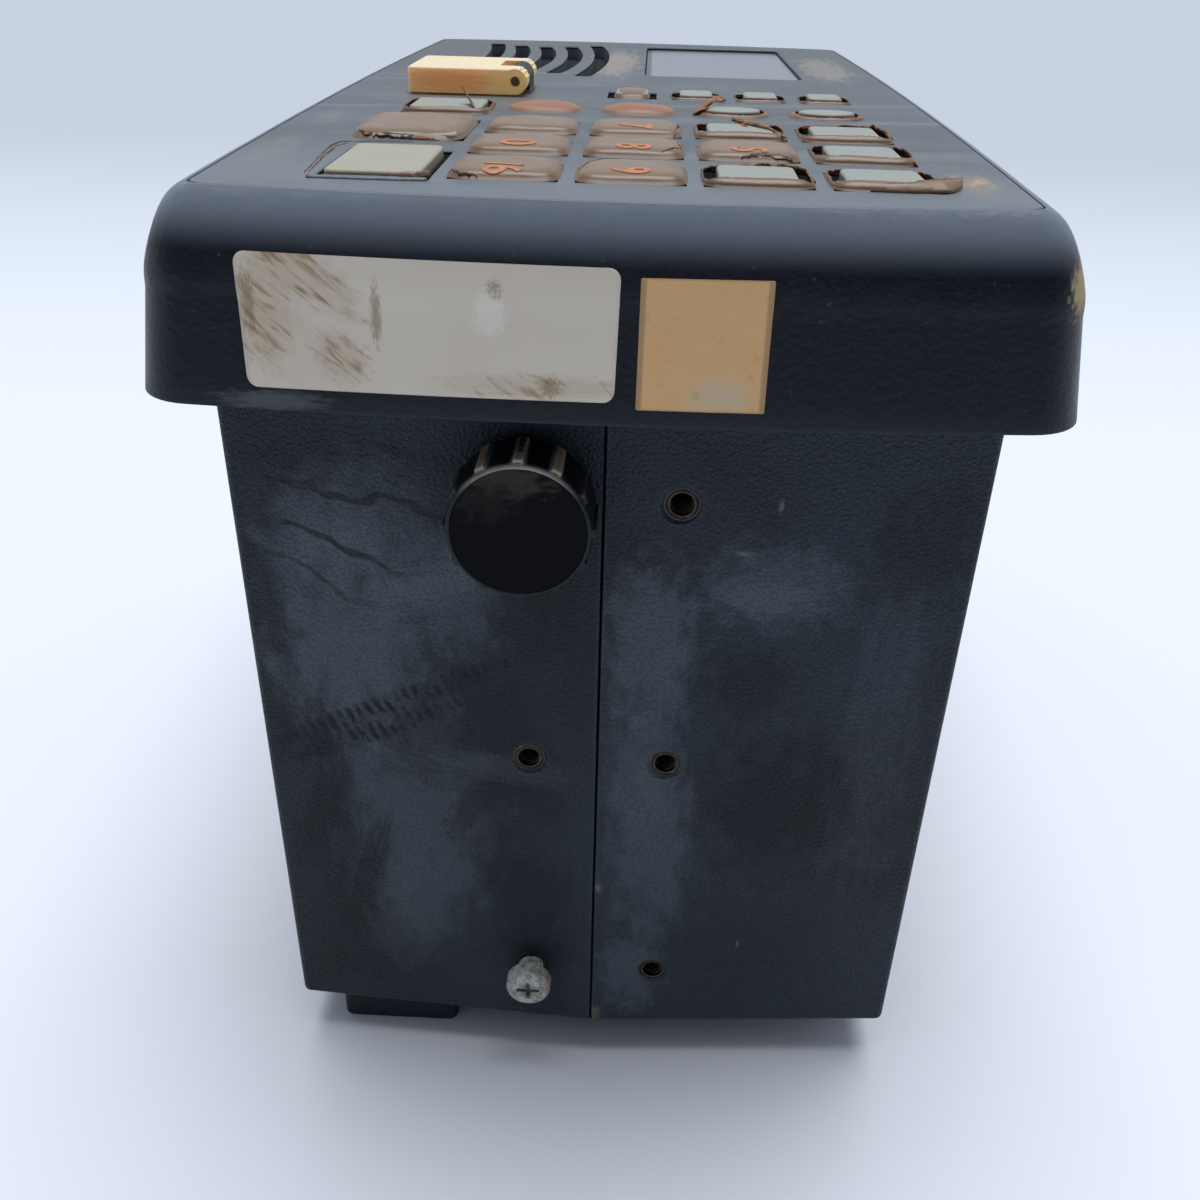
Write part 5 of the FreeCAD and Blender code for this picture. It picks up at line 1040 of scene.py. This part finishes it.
SQUARE_HALF = (8.5, 7.6)
whole = {}
for number, (key, text) in enumerate((("1_1", "16"), ("1_2", "0"), ("1_3", ""), ("2_1", "9"),
                                      ("2_2", "8"), ("2_3", "7"), ("3_2", "5"))):
    dome = Dome(f"square_key_{key}", *SQUARE_HALF, seed=20 + number)
    whole[key] = dome
    form_dome(dome)
    if text:
        print_numeral(dome, text, 0.78 if len(text) > 1 else 1.0)
OVAL_HALF = (7.7, 6.0)
for number in (1, 2):
    form_dome(Dome(f"oval_key_{number}", *OVAL_HALF, 1.4, 2.4, 3.0, 40 + number), finish=glow_film)
form_dome(Dome("small_key_1", 3.9, 6.0, 1.35, 3.6, 4.0, 45))
tall_dome = Dome("tall_key_2", 10.1, 13.2, 1.5, 6.0, 8.0, 46, (-1.7, 0.25))
form_dome(tall_dome)

score(whole["2_1"], "fold_nine", [(-8.0, -1.5), (-6.7, 2.9), (-4.7, 5.6), (-2.8, 5.9),
                                  (-0.5, 7.2)], 0.4, 6)
score(whole["2_2"], "crack_eight_a", [(4.6, -6.8), (6.2, -5.0), (7.3, -3.2), (8.2, -1.6)], 0.5, 7)
score(whole["2_2"], "crack_eight_b", [(7.4, 2.6), (7.9, 0.5), (8.0, -1.0)], 0.3, 8)
score(whole["2_3"], "crack_seven", [(7.0, -7.2), (7.6, -2.0), (7.9, 1.4), (7.7, 6.0)], 0.4, 9)
score(whole["1_1"], "crack_sixteen", [(-8.4, -4.0), (-6.5, -6.9), (-3.5, -7.4)], 0.35, 10)
score(whole["3_2"], "crack_five", [(-1.5, -7.4), (1.5, -6.6), (4.5, -6.9), (7.6, -7.0)], 0.8, 11)
score(tall_dome, "crack_tall", [(-8.4, -10.5), (-7.0, -12.2), (-4.5, -12.5), (-1.0, -12.8),
                                (2.5, -13.05), (6.4, -13.2)], 1.0, 12)
flat_foil = Dome("tall_key_1", 0.01, 0.01)
score(flat_foil, "slit_tall_a", [(-10.5, -10.25), (-11.7, 3.35), (-12.4, 14.85), (-11.7, 18.75),
                                 (-9.7, 19.35), (0.2, 20.25)], 0.4, 13, gives=False)
score(flat_foil, "slit_tall_b", [(-9.9, -10.15), (-11.0, 2.55), (-11.5, 14.05), (-10.3, 17.35)],
      0.3, 14, gives=False)

TORN = {
    "square_key_3_1": ([(0, 0.95), (45, 0.9), (80, 0.92), (110, 0.97), (180, 0.985), (215, 0.95),
                        (245, 0.82), (270, 0.79), (300, 0.82), (330, 0.95)],
                       [(0, 0.8), (60, 1.1), (100, 0.7), (140, 0.0), (250, 0.05), (320, 0.3)]),
    "square_key_3_3": ([(0, 0.95), (45, 0.93), (120, 0.96), (180, 0.95), (215, 0.86),
                        (270, 0.79), (315, 0.84)],
                       [(0, 0.6), (60, 0.7), (120, 0.5), (200, 0.1), (300, 0.1)]),
    "square_key_4_1": ([(0, 0.96), (60, 0.96), (110, 0.97), (180, 0.97), (215, 0.88),
                        (250, 0.78), (280, 0.76), (310, 0.8), (340, 0.94)],
                       [(0, 0.2), (90, 0.2), (180, 0.0), (270, 0.5), (300, 0.2)]),
    "square_key_4_2": ([(0, 0.96), (60, 0.95), (110, 0.96), (180, 0.96), (215, 0.88),
                        (270, 0.79), (320, 0.88)],
                       [(0, 0.3), (60, 0.4), (120, 0.3), (180, 0.1), (270, 0.05)]),
    "square_key_4_3": ([(0, 0.96), (50, 0.9), (90, 0.91), (130, 0.92), (180, 0.97),
                        (230, 0.9), (270, 0.82), (330, 0.94)],
                       [(0, 0.9), (60, 1.1), (120, 1.0), (180, 0.5), (270, 0.1)]),
    "short_key": ([(0, 0.95), (60, 0.96), (120, 0.96), (180, 0.96), (240, 0.93), (270, 0.88),
                   (330, 0.92)],
                  [(0, 0.1), (90, 0.1), (180, 0.0), (270, 0.1)]),
}
for number, (key, (opening, marks)) in enumerate(TORN.items()):
    half = (9.0, 8.5) if key == "short_key" else SQUARE_HALF
    form_dome(Dome(key, *half, seed=60 + number), opening, marks, 0.022, 8, seed=70 + number)
for number in (3, 4):
    form_dome(Dome(f"oval_key_{number}", *OVAL_HALF, 1.2, 2.4, 3.0, 80 + number),
              [(0, 0.86), (60, 0.9), (120, 0.9), (180, 0.84), (240, 0.88), (300, 0.88)],
              [(0, 1.2), (60, 0.8), (120, 0.9), (180, 1.1), (240, 0.4), (300, 0.3)], 0.03, 7,
              seed=84 + number)
for number in (2, 3, 4):
    form_dome(Dome(f"small_key_{number}", 5.7, 5.9, 1.1, 4.0, 4.0, 90 + number),
              [(0, 0.96), (90, 0.96), (180, 0.96), (270, 0.9)],
              [(0, 1.1 if number == 2 else 0.3), (90, 0.1), (180, 0.2), (270, 0.1)], 0.02, 5,
              seed=94 + number)

shred("tall_one_lip", ((-45.5, -113.5, 0.05), (-36, -113.6, 0.05), (-27.6, -113.4, 0.05)),
      ((-45.5, -112.4, 0.3), (-36, -112.3, 0.35), (-27.6, -112.3, 0.3)), foil, 0.1, seed=32)
shred("tall_one_shred", ((-33.2, -112.7, 0.1), (-29.4, -112.5, 0.1), (-27.4, -110.0, 0.1)),
      ((-32.8, -112.2, 0.85), (-31.2, -112.0, 1.05), (-29.2, -111.6, 1.05), (-27.9, -109.4, 0.9)),
      rough=0.08, stain=0.2, seed=33)
shred("flap_corner", ((38.0, -110.8, 0.1), (44.5, -111.0, 0.1), (50.2, -110.2, 0.15),
                      (52.2, -107.6, 0.5)),
      ((38.0, -109.6, 1.0), (43.5, -109.6, 1.35), (48.5, -107.6, 1.7), (52.6, -105.0, 1.5)),
      rough=0.05, stain=0.1, seed=34)
shred("strip_middle", ((20.6, -51.6, 1.25), (23.6, -55.2, 1.2), (26.8, -59.8, 1.15),
                       (29.4, -66.2, 0.7)),
      ((20.8, -51.0, 1.8), (24.0, -54.2, 1.65), (27.2, -58.8, 1.4), (29.6, -65.0, 0.85)),
      stain=0.95, rough=0.2, seed=35)
shred("rim_three_one", ((14.6, -96.4, 0.1), (22.0, -95.7, 0.1), (28.4, -96.4, 0.1),
                        (30.4, -99.0, 0.1), (30.7, -105.0, 0.1)),
      ((15.0, -97.0, 0.6), (22.0, -96.7, 1.2), (27.8, -97.6, 1.3), (29.6, -99.6, 1.0),
       (30.0, -105.0, 0.4)), stain=1.0, rough=0.3, seed=40)
shred("rim_four_three", ((33.2, -52.6, 0.1), (41.0, -51.5, 0.1), (48.0, -52.2, 0.1),
                         (50.0, -55.5, 0.1), (50.0, -61.0, 0.1)),
      ((33.6, -53.2, 0.6), (41.0, -52.4, 1.1), (47.4, -53.2, 1.3), (49.2, -56.0, 0.9),
       (49.4, -61.0, 0.4)), stain=1.0, rough=0.35, seed=41)
shred("rim_four_two", ((47.6, -74.4, 0.1), (49.9, -76.5, 0.1), (50.1, -82.0, 0.1),
                       (49.4, -87.6, 0.1)),
      ((46.8, -75.2, 1.0), (48.9, -77.2, 1.1), (49.2, -82.0, 0.9), (48.6, -87.0, 0.7)),
      stain=0.7, rough=0.35, seed=42)
shred("clump_middle", ((20.6, -58.0, 0.1), (21.0, -53.5, 0.1), (20.8, -49.0, 0.1)),
      ((22.8, -57.5, 1.0), (23.1, -53.5, 1.3), (22.8, -49.5, 0.9)), stain=1.0, rough=0.35, seed=36)
shred("clump_oval", ((13.6, -36.5, 0.2), (14.0, -32.5, 0.2), (15.5, -29.5, 0.2)),
      ((16.4, -36.0, 1.4), (16.8, -31.0, 2.0), (17.8, -28.9, 1.6)), stain=0.95, rough=0.3,
      seed=37)
shred("clump_small", ((16.4, -9.0, 0.1), (18.2, -12.0, 0.1), (20.2, -15.2, 0.1)),
      ((18.6, -8.0, 0.5), (20.2, -11.2, 0.7), (21.4, -14.4, 0.4)), stain=0.9, rough=0.3, seed=38)
shred("foil_strip", ((-29.6, -43.0, 0.2), (-30.2, -39.5, 0.5), (-31.2, -36.5, 0.9)),
      ((-30.6, -42.4, 1.6), (-32.0, -39.0, 3.0), (-33.2, -36.6, 4.1)), rough=0.08, thick=0.25,
      seed=39)


# ------------ Nameplate and sticker
# A silvery nameplate with rounded corners and a square cream sticker are stuck on the near
# skirt. Both are bare here. Grime has run over the plate and browned its edges.

bezel_mesh = nodes["front_bezel"].data
bezel_skin = BVHTree.FromPolygons([v.co for v in bezel_mesh.vertices],
                                  [tuple(f.vertices) for f in bezel_mesh.polygons])


def on_skirt(x, z, over):
    """The point over the near skirt at a place in mm."""
    hit = bezel_skin.ray_cast(Vector((x * MM, -0.3, z * MM)), Vector((0, 1, 0)))[0]
    return Vector((x * MM, hit.y - over * MM, z * MM))


def stick_label(name, corners, corner_radius, thick, finish, rows=26, columns=40):
    """A thin label on the near skirt, between four corners given left to right, top first."""
    (x0, z0), (x1, z1), (x2, z2), (x3, z3) = corners
    wide, high = hypot(x1 - x0, z1 - z0), hypot(x3 - x0, z3 - z0)
    points = []
    for row in range(rows + 1):
        v = (1 - cos(pi * row / rows)) / 2
        deep = min(v, 1 - v) * high
        inset = 0.0
        if deep < corner_radius:
            inset = corner_radius - sqrt(corner_radius ** 2 - (corner_radius - deep) ** 2)
        for column in range(columns + 1):
            u = inset / wide + (1 - 2 * inset / wide) * column / columns
            x = (1 - v) * ((1 - u) * x0 + u * x1) + v * ((1 - u) * x3 + u * x2)
            z = (1 - v) * ((1 - u) * z0 + u * z1) + v * ((1 - u) * z3 + u * z2)
            points.append(on_skirt(x, z, thick))
    lay_sheet(name, make_mesh(name, points, grid(rows, columns)), finish, thick)


silver = Finish("nameplate_silver", (210, 200, 184), 0.36, Metallic=0.05)
silver.mottle((30, 4, None, 1.0), 0.4, 0.7, (198, 186, 168), 0.42, 0.6)
streak_place = silver.stretched(reach=(3.4, 1, 0.5), turn=(0, radians(38), 0))
grime = silver.spread(silver.speckle(420, 6, streak_place, 0.8), 0.48, 0.7)
for at, reach, turn in (((-44, -125.5, 175.5), (9, 9, 3.2), 30),
                        ((-50, -125.5, 170), (4, 9, 7), 0), ((-39, -127, 164), (4, 9, 3), 30),
                        ((-10, -127.5, 161), (12, 9, 1.6), 0)):
    zone = silver.patch(at, reach, 0.4, (0, turn, 0))
    silver.coat(silver.both(grime, zone), (134, 100, 60), 0.6, 0.9)
    silver.coat(zone, (172, 148, 114), 0.5, 0.35)
for at, reach in (((-33.5, -126.4, 170.3), (0.7, 4, 3.8)), ((-16.2, -127, 174.6), (1.0, 4, 1.2)),
                  ((-8, -127.6, 161), (1.6, 4, 1.4)), ((-52.5, -126, 171), (1, 4, 4))):
    silver.smear((at, reach, 0.7), (128, 102, 70), 0.6, 0.6)
silver.smear(((-17, -127, 171), (2.2, 4, 3), 0.5), (222, 217, 208), 0.4, 0.7)
silver.edge_wear_and_highlight(0.2, (112, 104, 92), 0.5, 0.4)
silver.rough_up(200, 2, 0.02)
stick_label("nameplate", ((-54.2, 178.4), (1.9, 178.2), (1.4, 159.0), (-53.6, 158.9)), 1.7, 0.12,
            silver)

cream = Finish("sticker_cream", (212, 168, 116), 0.6)
cream.mottle((70, 5, None, 0.8), 0.4, 0.7, (220, 180, 126), 0.62, 0.6)
cream.mottle((420, 5), 0.6, 0.76, (170, 134, 90), 0.7, 0.5)
cream.smear(((17, -128, 160.5), (4, 4, 2.2), 0.8), (190, 178, 152), 0.7, 0.7)
cream.edge_wear_and_highlight(0.4, (112, 92, 66), 0.7, 0.5)
cream.rough_up(600, 3, 0.03)
stick_label("square_sticker", ((4.7, 177.0), (23.7, 177.1), (23.6, 158.1), (4.6, 158.1)), 0.25,
            0.10, cream, 20, 20)
